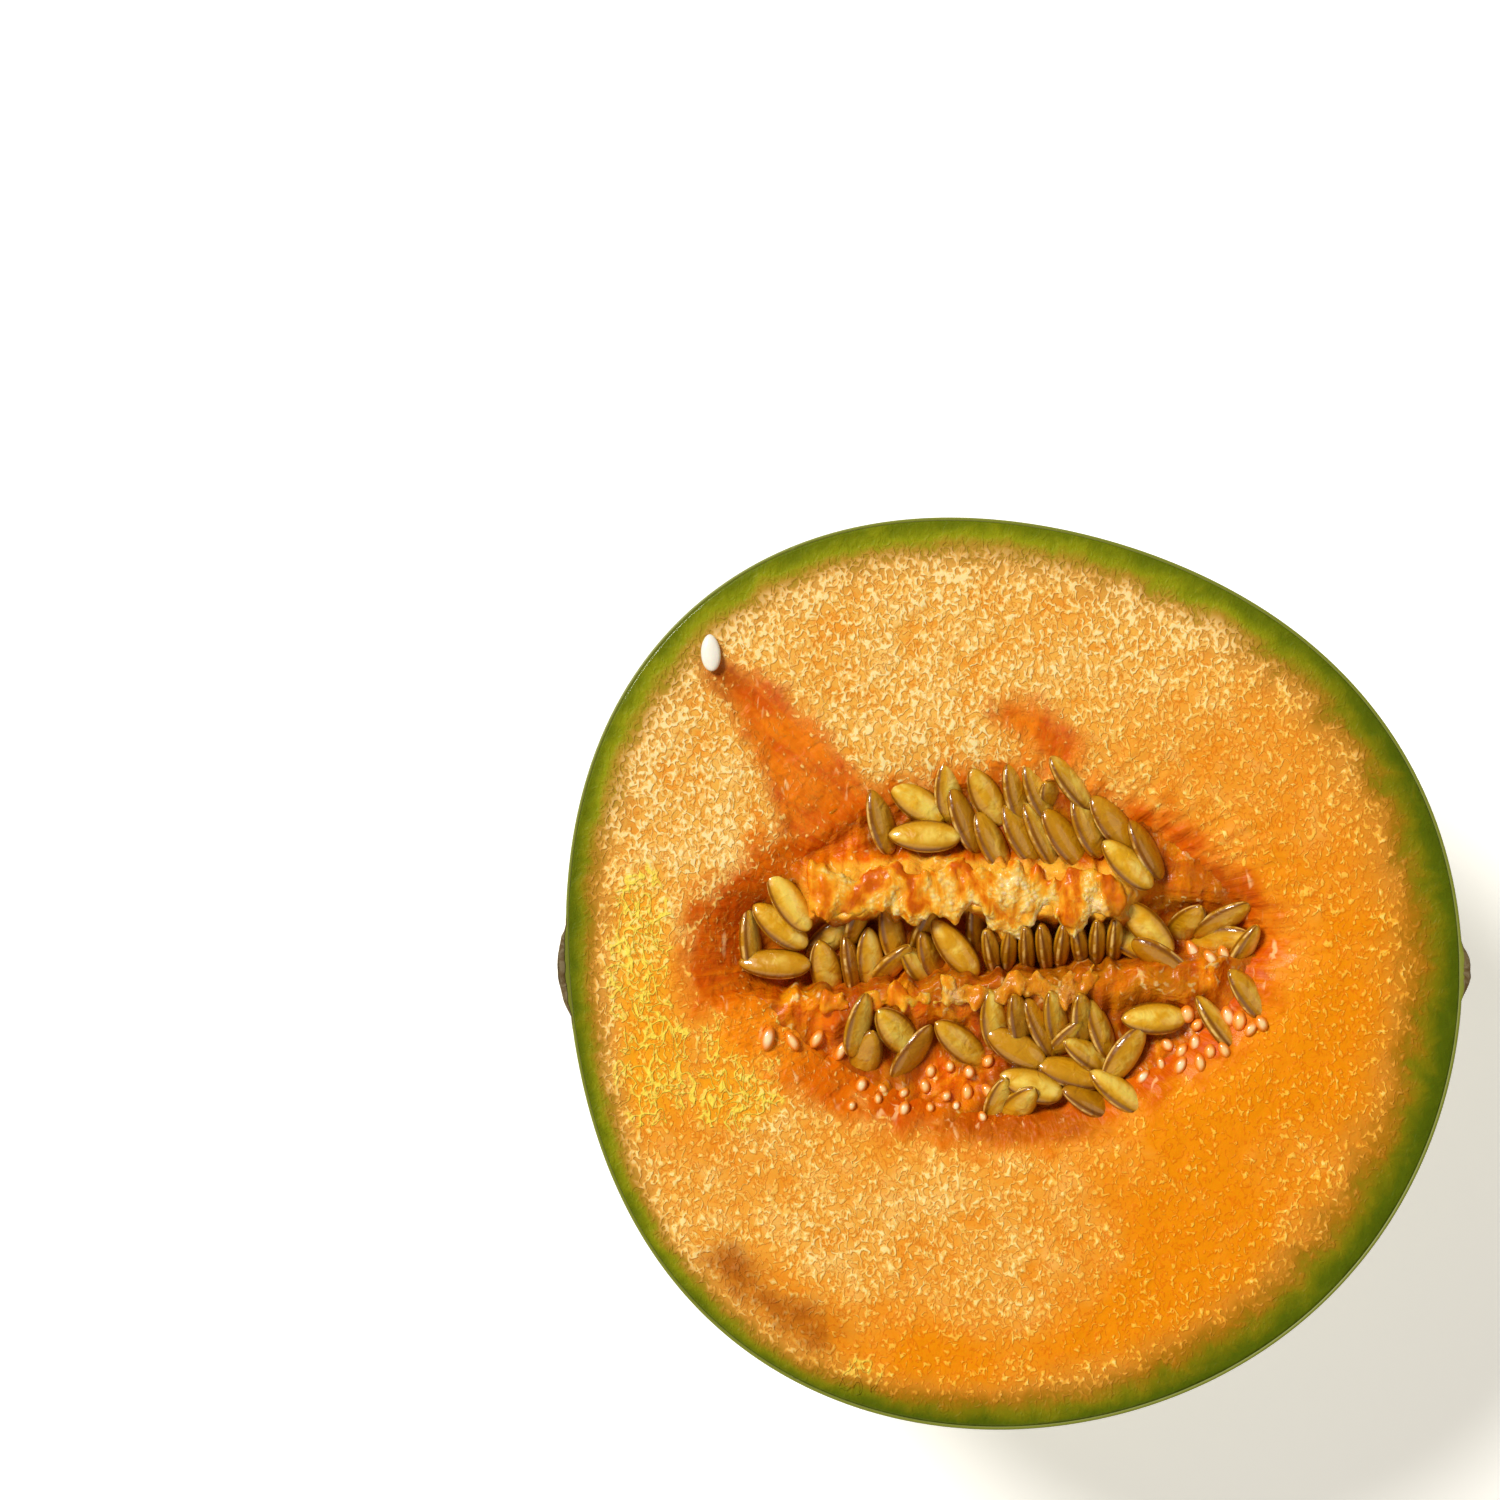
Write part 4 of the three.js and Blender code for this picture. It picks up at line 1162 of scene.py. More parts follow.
def grain_relief_tree():
    """Raises the grains of the cut flesh, and draws fibres out round the cavity."""
    tree, given, result = geometry_tree("cut flesh relief", [
        ("Grain Size", "Float", 1.5 * MM),
        ("Grain Height", "Float", 0.14 * MM),
        ("Fibre Size", "Float", 2.4 * MM),
        ("Fibre Height", "Float", 0.6 * MM),
        ("Swell Height", "Float", 0.4 * MM),
        ("Material", "Material", None),
    ])
    place = tree.nodes.new("GeometryNodeInputPosition").outputs[0]
    per_metre = maths(tree, "DIVIDE", 1.0, given.outputs["Grain Size"])
    drift = vector_maths(tree, "SUBTRACT", colour_noise(tree, place, per_metre, 1.0), (0.5, 0.5, 0.5))
    wandered = vector_maths(tree, "ADD", place, scaled(tree, drift, given.outputs["Grain Size"]))
    grains = cells(tree, wandered, per_metre, "SMOOTH_F1", 0.6).outputs["Distance"]
    domes = minus(tree, 0.45, grains)
    grain = times(tree, times(tree, domes, given.outputs["Grain Height"]), stored(tree, "grain"))
    swell = minus(tree, noise(tree, place, 1.0 / (9 * MM), 2.0), 0.5)
    swell = times(tree, swell, given.outputs["Swell Height"])
    swell = times(tree, swell, stored(tree, "grain"))
    fibre_scale = maths(tree, "DIVIDE", 1.0, given.outputs["Fibre Size"])
    fibres = noise(tree, stored(tree, "fibre_place", "FLOAT_VECTOR"), fibre_scale, 3.0, 0.55, 0.4)
    fibre = times(tree, minus(tree, fibres, 0.5), given.outputs["Fibre Height"])
    fibre = times(tree, fibre, stored(tree, "fibrous"))
    height = plus(tree, plus(tree, grain, swell), fibre)
    finish_tree(tree, lifted(tree, given.outputs["Geometry"], height), given, result)
    return tree


def rind_relief_tree():
    """Faint unevenness of the rind, and wrinkled cork."""
    tree, given, result = geometry_tree("rind relief", [
        ("Swell Size", "Float", 14 * MM),
        ("Swell Height", "Float", 0.5 * MM),
        ("Wrinkle Height", "Float", 1.1 * MM),
        ("Material", "Material", None),
    ])
    place = tree.nodes.new("GeometryNodeInputPosition").outputs[0]
    scale = maths(tree, "DIVIDE", 1.0, given.outputs["Swell Size"])
    swell = minus(tree, noise(tree, place, scale, 3.0, 0.45), 0.5)
    swell = times(tree, times(tree, swell, given.outputs["Swell Height"]), stored(tree, "loose"))
    wrinkles = minus(tree, noise(tree, place, 1.0 / (2.2 * MM), 4.0, 0.6, 1.2), 0.5)
    wrinkles = times(tree, times(tree, wrinkles, given.outputs["Wrinkle Height"]), stored(tree, "cork"))
    height = plus(tree, swell, wrinkles)
    finish_tree(tree, lifted(tree, given.outputs["Geometry"], height), given, result)
    return tree


def pulp_relief_tree():
    """Crumbly lumps on the pale ridges, and strings on the slopes."""
    tree, given, result = geometry_tree("pulp relief", [
        ("Lump Size", "Float", 2.4 * MM),
        ("Lump Height", "Float", 1.2 * MM),
        ("Fibre Size", "Float", 1.5 * MM),
        ("Fibre Height", "Float", 0.45 * MM),
        ("Material", "Material", None),
    ])
    place = tree.nodes.new("GeometryNodeInputPosition").outputs[0]
    scale = maths(tree, "DIVIDE", 1.0, given.outputs["Lump Size"])
    stretched = vector_maths(tree, "MULTIPLY", place, (1.0, 0.55, 1.0))
    lumps = minus(tree, noise(tree, stretched, scale, 2.0, 0.5, 0.3), 0.5)
    lumps = times(tree, times(tree, lumps, given.outputs["Lump Height"]), stored(tree, "pale"))
    fibre_scale = maths(tree, "DIVIDE", 1.0, given.outputs["Fibre Size"])
    fibres = noise(tree, stored(tree, "fibre_place", "FLOAT_VECTOR"), fibre_scale, 3.0, 0.6, 0.5)
    fibre = times(tree, minus(tree, fibres, 0.5), given.outputs["Fibre Height"])
    fibre = times(tree, fibre, stored(tree, "fibrous"))
    height = plus(tree, lumps, fibre)
    finish_tree(tree, lifted(tree, given.outputs["Geometry"], height), given, result)
    return tree


def scatter_tree(name):
    """Puts one shape on every point, turned and sized by the point's own values."""
    tree, given, result = geometry_tree(name, [
        ("Shape", "Object", None),
        ("Size", "Float", 1.0),
        ("Material", "Material", None),
    ])
    size = scaled(tree, stored(tree, "sized", "FLOAT_VECTOR"), given.outputs["Size"])
    finish_tree(tree, shapes_on_points(tree, given, size), given, result)
    return tree


def shapes_on_points(tree, given, size):
    shape = node(tree, "GeometryNodeObjectInfo")
    tree.links.new(given.outputs["Shape"], shape.inputs["Object"])
    points = node(tree, "GeometryNodeMeshToPoints", Mesh=given.outputs["Geometry"])
    placed = node(tree, "GeometryNodeInstanceOnPoints", Points=points.outputs[0])
    tree.links.new(shape.outputs["Geometry"], placed.inputs["Instance"])
    turned = node(tree, "FunctionNodeEulerToRotation", Euler=stored(tree, "turned", "FLOAT_VECTOR"))
    tree.links.new(turned.outputs[0], placed.inputs["Rotation"])
    tree.links.new(size, placed.inputs["Scale"])
    return placed.outputs[0]


# Pieces

def face_position(angle, share):
    """A point of the face: share is 0 at the inside of the skin and 1 at the cavity's edge."""
    rim = outline_radius(angle) - RIND_THICKNESS
    cavity = cavity_radius(angle)
    x = mix(rim * np.cos(angle), CAVITY_CENTRE[0] + cavity * np.cos(angle), share)
    y = mix(rim * np.sin(angle), CAVITY_CENTRE[1] + cavity * np.sin(angle), share)
    return x, y


def gap_to_cavity(x, y):
    """About how far a point is from the cavity's edge, less than 0 inside it."""
    off_x = x - CAVITY_CENTRE[0]
    off_y = y - CAVITY_CENTRE[1]
    return np.hypot(off_x, off_y) - cavity_radius(np.arctan2(off_y, off_x))


def gap_to_rim(x, y):
    return outline_radius(np.arctan2(y, x)) - np.hypot(x, y)


def flesh_slope(angle, gap):
    """The flesh dips towards the cavity ever more steeply, down to the pulp at the slope's foot."""
    run = SLOPE_REACH * SLOPE_FOOT * cavity_radius(angle)
    foot_reach = cavity_radius(angle) - run
    foot_x = CAVITY_CENTRE[0] + foot_reach * np.cos(angle)
    foot_y = CAVITY_CENTRE[1] + foot_reach * np.sin(angle)
    foot = pulp_height(foot_x, foot_y) + WALL_OVER_PULP
    return foot * np.clip((LIP_WIDTH - gap) / (LIP_WIDTH + run), 0, 1) ** 3


def scraped_off(x, y):
    """How much flesh is gone from the two scraped places."""
    return sum(stroke["depth"] * brush_share(stroke, x, y, SCRAPE_EDGE) for stroke in (STREAK, PATCH))


def green_width(angle):
    """Width of the green layer under the skin, widest at the stem end."""
    return GREEN_WIDTH + waves(angle, GREEN_LOBES)


def fibre_place(x, y):
    """A place whose patterns come out drawn towards the cavity: round it by angle, and slow outwards."""
    off_x = x - CAVITY_CENTRE[0]
    off_y = (y - CAVITY_CENTRE[1]) * CAVITY_HALF_LENGTH / CAVITY_HALF_WIDTH
    angle = np.arctan2(off_y, off_x)
    reach = CAVITY_HALF_LENGTH * FIBRE_TURN
    slow = gap_to_cavity(x, y) * FIBRE_DRAW
    return np.stack([reach * np.cos(angle), reach * np.sin(angle), slow], axis=-1) * MM


def deep_shift(around):
    """How far inwards the deep orange zone is moved: most at the top, least at the blossom end."""
    toward_top = 0.5 + 0.5 * np.cos(around - math.radians(GRAINS_INWARD["top_turn"]))
    toward_blossom = np.clip(-np.cos(around), 0, 1) ** 2
    toward_stem = np.clip(np.cos(around), 0, 1) ** 2
    shift = GRAINS_INWARD["all_round"] + GRAINS_INWARD["top"] * toward_top
    shift = shift + GRAINS_INWARD["blossom_end"] * toward_blossom
    return shift + GRAINS_INWARD["stem_end"] * toward_stem


def paleness_of_face(x, y):
    """1 where the face is palest and 0 where its orange is deepest."""
    run_x, run_y = PALE_RUN["along"]
    paleness = smooth_step(PALE_RUN["low"], PALE_RUN["high"], run_x * x + run_y * y)
    paleness = paleness + 0.5 * spot_share(PALE_SPOTS, x, y) - 0.6 * spot_share(GOLDEN_SPOTS, x, y)
    return np.clip(paleness, 0, 1)


def flesh_piece():
    """The cut face, the wall down into the cavity, and the hidden sides, as one closed body."""
    angle = np.linspace(0, 2 * math.pi, FACE_SECTORS, endpoint=False)
    rings = []
    for level in HIDDEN_LEVELS:
        narrowed = math.sqrt(1 - (level * HIDDEN_CURVE) ** 2) * HIDDEN_INSET
        reach = (outline_radius(angle) - RIND_THICKNESS) * narrowed
        rings.append(ring_at(angle, reach, -level * (HEIGHT - FLESH_BOTTOM)))
    for share in np.linspace(0, 1, FACE_RINGS):
        x, y = face_position(angle, share)
        gap = gap_to_cavity(x, y)
        height = flesh_slope(angle, gap) - scraped_off(x, y)
        rings.append(np.stack([x, y, height], axis=-1))
    # Inside the cavity's edge the flesh slopes down just over the pulp, then under it
    for step in range(1, WALL_RINGS + 1):
        inward = 1 + SLOPE_REACH * step / WALL_RINGS
        x, y = face_position(angle, 1.0)
        x = CAVITY_CENTRE[0] + (x - CAVITY_CENTRE[0]) * (2 - inward)
        y = CAVITY_CENTRE[1] + (y - CAVITY_CENTRE[1]) * (2 - inward)
        share = step / WALL_RINGS
        past_foot = max(0.0, share - SLOPE_FOOT)
        if past_foot > 0:
            height = pulp_height(x, y) + WALL_OVER_PULP - WALL_DIP * past_foot
        else:
            height = flesh_slope(angle, -SLOPE_REACH * share * cavity_radius(angle))
            height -= scraped_off(x, y) * (1 - smooth_step(0.0, SLOPE_FOOT, share))
        rings.append(np.stack([x, y, height - WALL_TUCK * smooth_step(0.85, 1.0, share)], axis=-1))
    rings = np.array(rings)
    x, y = rings[..., 0], rings[..., 1]
    gap = gap_to_cavity(x, y)
    scraped = np.maximum(brush_share(STREAK, x, y), brush_share(PATCH, x, y))
    scrape_depth = np.maximum(brush_depth(STREAK, x, y), brush_depth(PATCH, x, y))
    on_face = np.zeros(rings.shape[:2])
    on_face[len(HIDDEN_LEVELS):] = 1
    rim_gap = gap_to_rim(x, y)
    rim_share = rim_gap / green_width(np.arctan2(y, x))
    grain = on_face * smooth_step(0.2, 1.4, rim_gap) * smooth_step(-5.0, -2.0, gap)
    grain *= (1 - 0.85 * scraped) * mix(0.35, 1.0, smooth_step(0.5, 1.6, rim_share))
    around = np.arctan2(y - CAVITY_CENTRE[1], x - CAVITY_CENTRE[0])
    torn_side = smooth_step(-0.3, 0.1, around) * (1 - smooth_step(1.1, 1.9, around))
    fibrous = on_face * (1 - smooth_step(2.0, 10.0, gap)) * mix(0.35, 1.9, torn_side)
    piece = ringed_body(
        "melon_flesh_cut",
        rings + [0, 0, HEIGHT],
        (0, 0, FLESH_BOTTOM),
        (*CAVITY_CENTRE, HEIGHT + FLESH_FLOOR),
        {
            "scrape_depth": scrape_depth,
            "paleness": paleness_of_face(x, y),
            "juice": spot_share(JUICE_AND_GLARE_SPOTS, x, y) * on_face,
            "bruise": brush_share(BRUISE, x, y, 5.0) * on_face,
            "brown": spot_share(BROWN_AND_SHADE_SPOTS, x, y) * on_face,
            "cavity_gap": gap + deep_shift(around),
            "rim_share": rim_share,
            "grain": grain,
            "fibrous": fibrous,
            "fibre_place": fibre_place(x, y),
        },
    )
    return made_by(piece, grain_relief_tree(), Material=flesh_material())


def end_lump(angle, level_depth, side, toward, lump):
    """How far the lump at one end lifts the rind, at a distance aside and a depth below the face."""
    aside = side / lump["sideways"]
    down = level_depth / lump["down"]
    inside = np.sqrt(np.clip(1 - aside**2 - down**2, 0, 1))
    curve = (side**2 + level_depth**2) / (2 * FACE_RADIUS)
    lift = (lump["proud"] + lump["below"]) * inside - lump["below"] + curve
    on_lump = (np.cos(angle - toward) > 0) & (inside > 0)
    return np.where(on_lump, np.maximum(0, lift), 0)


def rind_piece():
    """The skin: outside, cut edge and inside, as one closed body."""
    angle = np.linspace(0, 2 * math.pi, RIND_SECTORS, endpoint=False)
    full_depth = HEIGHT / math.sqrt(1 - (REST_SPOT_RADIUS / FACE_RADIUS) ** 2)
    steepest = math.asin(HEIGHT / full_depth)
    rings = []
    masks = {"cork": [], "loose": [], "cut_edge": [], "below_face": []}

    def add_ring(profile_angle, inset, rise, cork_allowed, edge):
        depth = full_depth * math.sin(profile_angle)
        level = min(1.0, depth / HEIGHT)
        outline = FACE_RADIUS + (outline_radius(angle) - FACE_RADIUS) * (1 - level * level)
        reach = math.cos(profile_angle) * outline
        side = reach * np.sin(angle)
        scar_lift = end_lump(angle, depth, side, math.pi, SCAR)
        stub_lift = end_lump(angle, depth, side, 0.0, STEM_STUB)
        reach = reach + (scar_lift + stub_lift) * cork_allowed - inset * math.cos(profile_angle)
        rings.append(ring_at(angle, reach, -depth + inset * math.sin(profile_angle) + rise))
        scar = 1.25 - np.hypot(side / SCAR["sideways"], depth / SCAR["down"])
        stub = 1.1 - np.hypot(side / STEM_STUB["sideways"], depth / STEM_STUB["down"])
        scar = np.where(np.cos(angle) < 0, scar, 0)
        stub = np.where(np.cos(angle) > 0, stub, 0)
        masks["cork"].append(np.clip(np.maximum(scar, stub), 0, 1) * cork_allowed)
        loose = cork_allowed * smooth_step(0.5, 4.0, depth) * (1 - level**8)
        masks["loose"].append(np.full_like(angle, loose))
        masks["cut_edge"].append(np.full_like(angle, edge))
        masks["below_face"].append(np.full_like(angle, depth))

    for step in reversed(range(INNER_RINGS)):
        add_ring(steepest * step / (INNER_RINGS - 0.5), RIND_THICKNESS, 0.0, 0.0, 0.0)
    for inset, rise, cork_allowed in CUT_EDGE_RINGS:
        add_ring(0.0, RIND_THICKNESS * inset, rise, cork_allowed, 1.0)
    for share in np.linspace(0, 1, RIND_RINGS):
        add_ring(steepest * share, 0.0, 0.0, 1.0, 1.0 if share == 0 else 0.0)
    rings = np.array(rings)
    masks["pole_place"] = rings * RIND_DRAW * MM
    values = {key: np.array(ring_values) for key, ring_values in masks.items()}
    piece = ringed_body("melon_rind", rings + [0, 0, HEIGHT], (0, 0, RIND_BOTTOM), (0, 0, 0), values)
    return made_by(piece, rind_relief_tree(), Material=rind_material())


def square_to_round(a, b):
    """Maps the square -1 to 1 onto the round disc, so that a grid has no pole."""
    return a * np.sqrt(1 - b * b / 2), b * np.sqrt(1 - a * a / 2)


def ragged_pulp_height(x, y):
    """The pulp's surface with torn, wandering ridge edges."""
    wander = 0.8 * np.sin(0.9 * x + 2.0 * np.sin(0.37 * x))
    wander = wander + 0.2 * np.sin(2.3 * x + 1.1 * np.sin(0.8 * y))
    return pulp_height(x, y + wander * mix(1.0, 0.2, smooth_step(14.0, 26.0, x)))


def pulp_piece():
    """The pulp's top over the whole cavity, closed underneath."""
    count_x, count_y = PULP_GRID
    a, b = np.meshgrid(np.linspace(-1, 1, count_x), np.linspace(-1, 1, count_y), indexing="ij")
    round_x, round_y = square_to_round(a, b)
    angle = np.arctan2(round_y * CAVITY_HALF_WIDTH, round_x * CAVITY_HALF_LENGTH)
    reach = np.hypot(round_x, round_y) * cavity_radius(angle) * PULP_OVERLAP
    x = CAVITY_CENTRE[0] + reach * np.cos(angle)
    y = CAVITY_CENTRE[1] + reach * np.sin(angle)
    share = cavity_share(x, y)
    height = ragged_pulp_height(x, y) - PULP_EDGE_DIP * smooth_step(0.94, PULP_OVERLAP, share)
    top = np.stack([x, y, height], axis=-1)
    index = np.arange(count_x * count_y).reshape(count_x, count_y)
    corners = [index[:-1, :-1], index[1:, :-1], index[1:, 1:], index[:-1, 1:]]
    faces = np.stack(corners, axis=-1).reshape(-1, 4).tolist()
    border = np.concatenate([index[:-1, 0], index[-1, :-1], index[:0:-1, -1], index[0, :0:-1]])
    narrowed = [PULP_UNDER_SHARE, PULP_UNDER_SHARE, 0]
    lower = top.reshape(-1, 3)[border] * narrowed + [0, 0, PULP_UNDER_EDGE]
    base = count_x * count_y
    around = len(border)
    lower_index = np.arange(base, base + around)
    bottom = base + around
    for i in range(around):
        j = (i + 1) % around
        faces.append((int(border[j]), int(border[i]), int(lower_index[i]), int(lower_index[j])))
        faces.append((int(lower_index[j]), int(lower_index[i]), bottom))
    points = np.vstack([top.reshape(-1, 3), lower, [[*CAVITY_CENTRE, PULP_UNDER_MIDDLE]]])
    piece = mesh_piece("melon_pulp", (points + [0, 0, HEIGHT]) * MM, faces)
    pale = np.clip(ridge_share(UPPER_RIDGE, x, y) + 0.3 * ridge_share(LOWER_RIDGE, x, y) ** 2, 0, 1)
    stringy_end = mix(1.0, 2.6, smooth_step(20.0, 28.0, x))
    values = {
        "pale": pale,
        "depth": -height,
        "near_flesh": smooth_step(0.7, 0.88, share),
        "brown": spot_share(BROWN_AND_SHADE_SPOTS, x, y),
        "among_seeds": among_seeds(x, y) * (1 - pale),
        "fibrous": smooth_step(0.0, 0.3, share) * (1 - 0.6 * pale) * stringy_end,
        "fibre_place": np.stack([x, 0.18 * y, np.zeros_like(x)], axis=-1) * MM,
    }
    for key, top_values in values.items():
        store_values(piece, key, top_values, len(points))
    return made_by(piece, pulp_relief_tree(), Material=pulp_material())


def among_seeds(x, y):
    """1 close beside seeds, where juice and shade are deep, and 0 away from them."""
    share = np.zeros_like(x)
    for seed_x, seed_y, turn, roll, dip, lift in all_seeds():
        run = np.array([math.cos(math.radians(turn)), math.sin(math.radians(turn))])
        half = SEED_LENGTH / 2 * math.cos(math.radians(dip)) - SEED_WIDTH / 2
        along = np.clip((x - seed_x) * run[0] + (y - seed_y) * run[1], -half, half)
        distance = np.hypot(x - seed_x - along * run[0], y - seed_y - along * run[1])
        share = np.maximum(share, 1 - smooth_step(SEED_WIDTH * 0.4, SEED_WIDTH * 0.95, distance))
    return share


def vertex_places(piece):
    """A piece's points in millimetres, as x, y and height from the cut face."""
    places = np.empty(len(piece.data.vertices) * 3, dtype=np.float32)
    piece.data.vertices.foreach_get("co", places)
    return places.reshape(-1, 3).astype(float) / MM - [0, 0, HEIGHT]


def lobe_reach(lobes, x):
    """How far torn pulp hangs below a ridge's middle line at x."""
    reach = LEAST_REACH + 0.4 * np.sin(1.9 * x) * np.sin(0.7 * x)
    for middle, half_width, depth in lobes:
        inside = np.clip(1 - ((x - middle) / half_width) ** 2, 0, 1)
        reach = np.maximum(reach, depth * np.sqrt(inside))
    return reach


def crumbs_piece():
    """Torn pulp along the ridges."""
    chance = np.random.default_rng(SEED_OF_CHANCE + 2)
    points, turned, sized = [], [], []

    def add(x, y, height, size, turn):
        points.append((x, y, HEIGHT + height))
        turned.append((chance.normal(0, 0.3), chance.normal(0, 0.3), turn))
        sized.append(size)

    for ridge, lobes, (start, end), tries, sag, proud in TORN_RUNS:
        for _ in range(tries):
            x = mix(start, end, chance.random())
            top_edge = ridge["half_width"] + 1.2 * math.sin(0.55 * x) + 0.7 * math.sin(1.3 * x)
            across = mix(DEEPEST_TRY, top_edge, chance.random())
            reach = lobe_reach(lobes, x)
            from_edge = across + reach
            width = mix(0.5, 1.1, chance.random() ** 1.4)
            length = width * mix(1.4, 3.6, chance.random())
            slant = chance.normal(0, 0.25)
            unevenness = 0.3 * chance.standard_normal()
            if from_edge < 0:
                continue
            if from_edge < TORN_EDGE or across > top_edge - TORN_TOP_EDGE:
                width *= 0.65
                length = width * 1.2
            over_edge = np.clip(-across - SAG_START, 0, None) / SAG_RUN
            height = ridge["top"] + proud - sag * over_edge**1.3 + unevenness
            y = float(ridge_line(ridge, np.float64(x))) + across
            add(x, y, min(height, HIGHEST_CRUMB), (width, length, width), slant)
    bpy.ops.mesh.primitive_ico_sphere_add(subdivisions=3, radius=MM)
    shape = bpy.context.object
    piece = point_cloud("melon_torn_pulp", points, turned, sized, np.zeros(len(points)))
    made_by(piece, merged_lumps_tree(), Shape=shape, Material=crumb_material())
    bpy.data.objects.remove(shape)
    x, y, height = vertex_places(piece).T
    off_upper = y - ridge_line(UPPER_RIDGE, x)
    off_lower = y - ridge_line(LOWER_RIDGE, x)
    near_upper = 1 - smooth_step(8.0, 11.0, np.abs(off_upper + 2))
    near_upper *= smooth_step(-40.0, -18.0, x) * (1 - smooth_step(13.0, 21.0, x))
    near_lower = 1 - smooth_step(3.0, 5.5, np.abs(off_lower + 1))
    near_lower *= smooth_step(-20.0, -8.0, x) * (1 - smooth_step(12.0, 24.0, x))
    low_edge = smooth_step(3.5, 0.5, off_upper + lobe_reach(UPPER_LOBES, x))
    bright = spot_share(GLOW_SPOTS, x, y)
    tone = 0.18 + near_upper * (0.12 + 0.32 * bright + 0.26 * low_edge) + 0.3 * near_lower
    tone -= 0.15 * near_upper * smooth_step(1.0, 4.0, off_upper)
    store_values(piece, "tone", tone, len(x))
    store_values(piece, "stringy", mix(0.3, 1.0, np.maximum(near_upper, 0.6 * near_lower)), len(x))
    store_values(piece, "brown", spot_share(BROWN_AND_SHADE_SPOTS, x, y), len(x))
    return piece


def seed_shape(name, length, width, thickness, stations=24, around=16):
    """A flat almond with its point along +X, and a thin edge."""
    rings = []
    values = {"along": [], "across": [], "margin": []}
    turn = np.linspace(0, 2 * math.pi, around, endpoint=False)
    for along in -np.cos(np.linspace(0.16, math.pi - 0.13, stations)):
        rounded = math.sqrt(1 - abs(along) ** SEED_ROUNDING)
        pointed = (1 - along) ** SEED_TAPER * SEED_SHOULDER if along > 0 else rounded
        girth = mix(rounded, pointed, max(0.0, along) ** 0.6 * SEED_POINTEDNESS)
        across = np.cos(turn)
        side = np.sign(across) * np.abs(across) ** 0.9
        bulge = np.sin(turn)
        rings.append(np.stack([
            np.full_like(turn, along * length / 2),
            side * girth * width / 2,
            bulge * girth**0.8 * thickness / 2,
        ], axis=-1))
        values["along"].append(np.full_like(turn, along))
        values["across"].append(side * girth)
        values["margin"].append(np.abs(across))
    return ringed_body(name, np.array(rings), (-length / 2, 0, 0), (length / 2, 0, 0), values)


def point_cloud(name, points, turned, sized, tones):
    """Loose points that carry what a scattered shape needs."""
    piece = bpy.data.objects.new(name, bpy.data.meshes.new(name))
    piece.data.from_pydata((np.array(points) * MM).tolist(), [], [])
    bpy.context.scene.collection.objects.link(piece)
    count = len(points)
    store_values(piece, "turned", np.array(turned).reshape(1, count, 3), count)
    store_values(piece, "sized", np.array(sized).reshape(1, count, 3), count)
    store_values(piece, "tone", np.array(tones), count)
    return piece


def scattered(piece, tree_name, shape, material):
    """Puts the shape on every point of the piece, and drops the loose shape."""
    made_by(piece, scatter_tree(tree_name), Shape=shape, Size=1.0, Material=material)
    bpy.data.objects.remove(shape)
    return piece


def deep_row_seeds():
    """The row at the bottom of the valley, seeds on edge side by side."""
    seeds = []
    for i in range(DEEP_ROW["count"]):
        share = i / (DEEP_ROW["count"] - 1)
        x = mix(DEEP_ROW["start"][0], DEEP_ROW["end"][0], share)
        y = mix(DEEP_ROW["start"][1], DEEP_ROW["end"][1], share)
        turn = DEEP_ROW["turn"] + DEEP_ROW["sway"] * math.cos(i * 2.4)
        seeds.append((x, y, turn, DEEP_ROW["roll"], DEEP_ROW["dip"], DEEP_ROW["lift"]))
    return seeds


def all_seeds():
    return UPPER_ROW + STEM_END_SEEDS + BLOSSOM_END_SEEDS + deep_row_seeds() + LOWER_POCKET_SEEDS


def seeds_piece():
    """The grown seeds, partly sunk in the pulp."""
    chance = np.random.default_rng(SEED_OF_CHANCE)
    points, turned, sized, tones = [], [], [], []
    for x, y, turn, roll, dip, lift in all_seeds():
        height = float(pulp_height(np.float64(x), np.float64(y))) + lift
        points.append((x, y, HEIGHT + height))
        turned.append((math.radians(roll), math.radians(dip), math.radians(turn)))
        sized.append(mix(0.96, 1.06, chance.random(3)) * SEED_PLUMPNESS)
        # Seeds lying deeper get a lighter tone, painted light against the cavity's shade, on top of a
        # tone that differs at random
        tones.append(np.clip(0.58 - height * 0.01 + 0.24 * chance.standard_normal(), 0, 1))
    shape = seed_shape("seed_shape", SEED_LENGTH, SEED_WIDTH, SEED_THICKNESS)
    piece = point_cloud("melon_seeds", points, turned, sized, tones)
    return scattered(piece, "seeds on points", shape, seed_material())


def shown_height(x, y):
    """Height of the pulp, or of the flesh that slopes down over its edge."""
    around = np.arctan2(y - CAVITY_CENTRE[1], x - CAVITY_CENTRE[0])
    gap = gap_to_cavity(x, y)
    if gap < -SLOPE_REACH * SLOPE_FOOT * cavity_radius(around):
        return float(pulp_height(x, y))
    return float(max(pulp_height(x, y), flesh_slope(around, gap)))


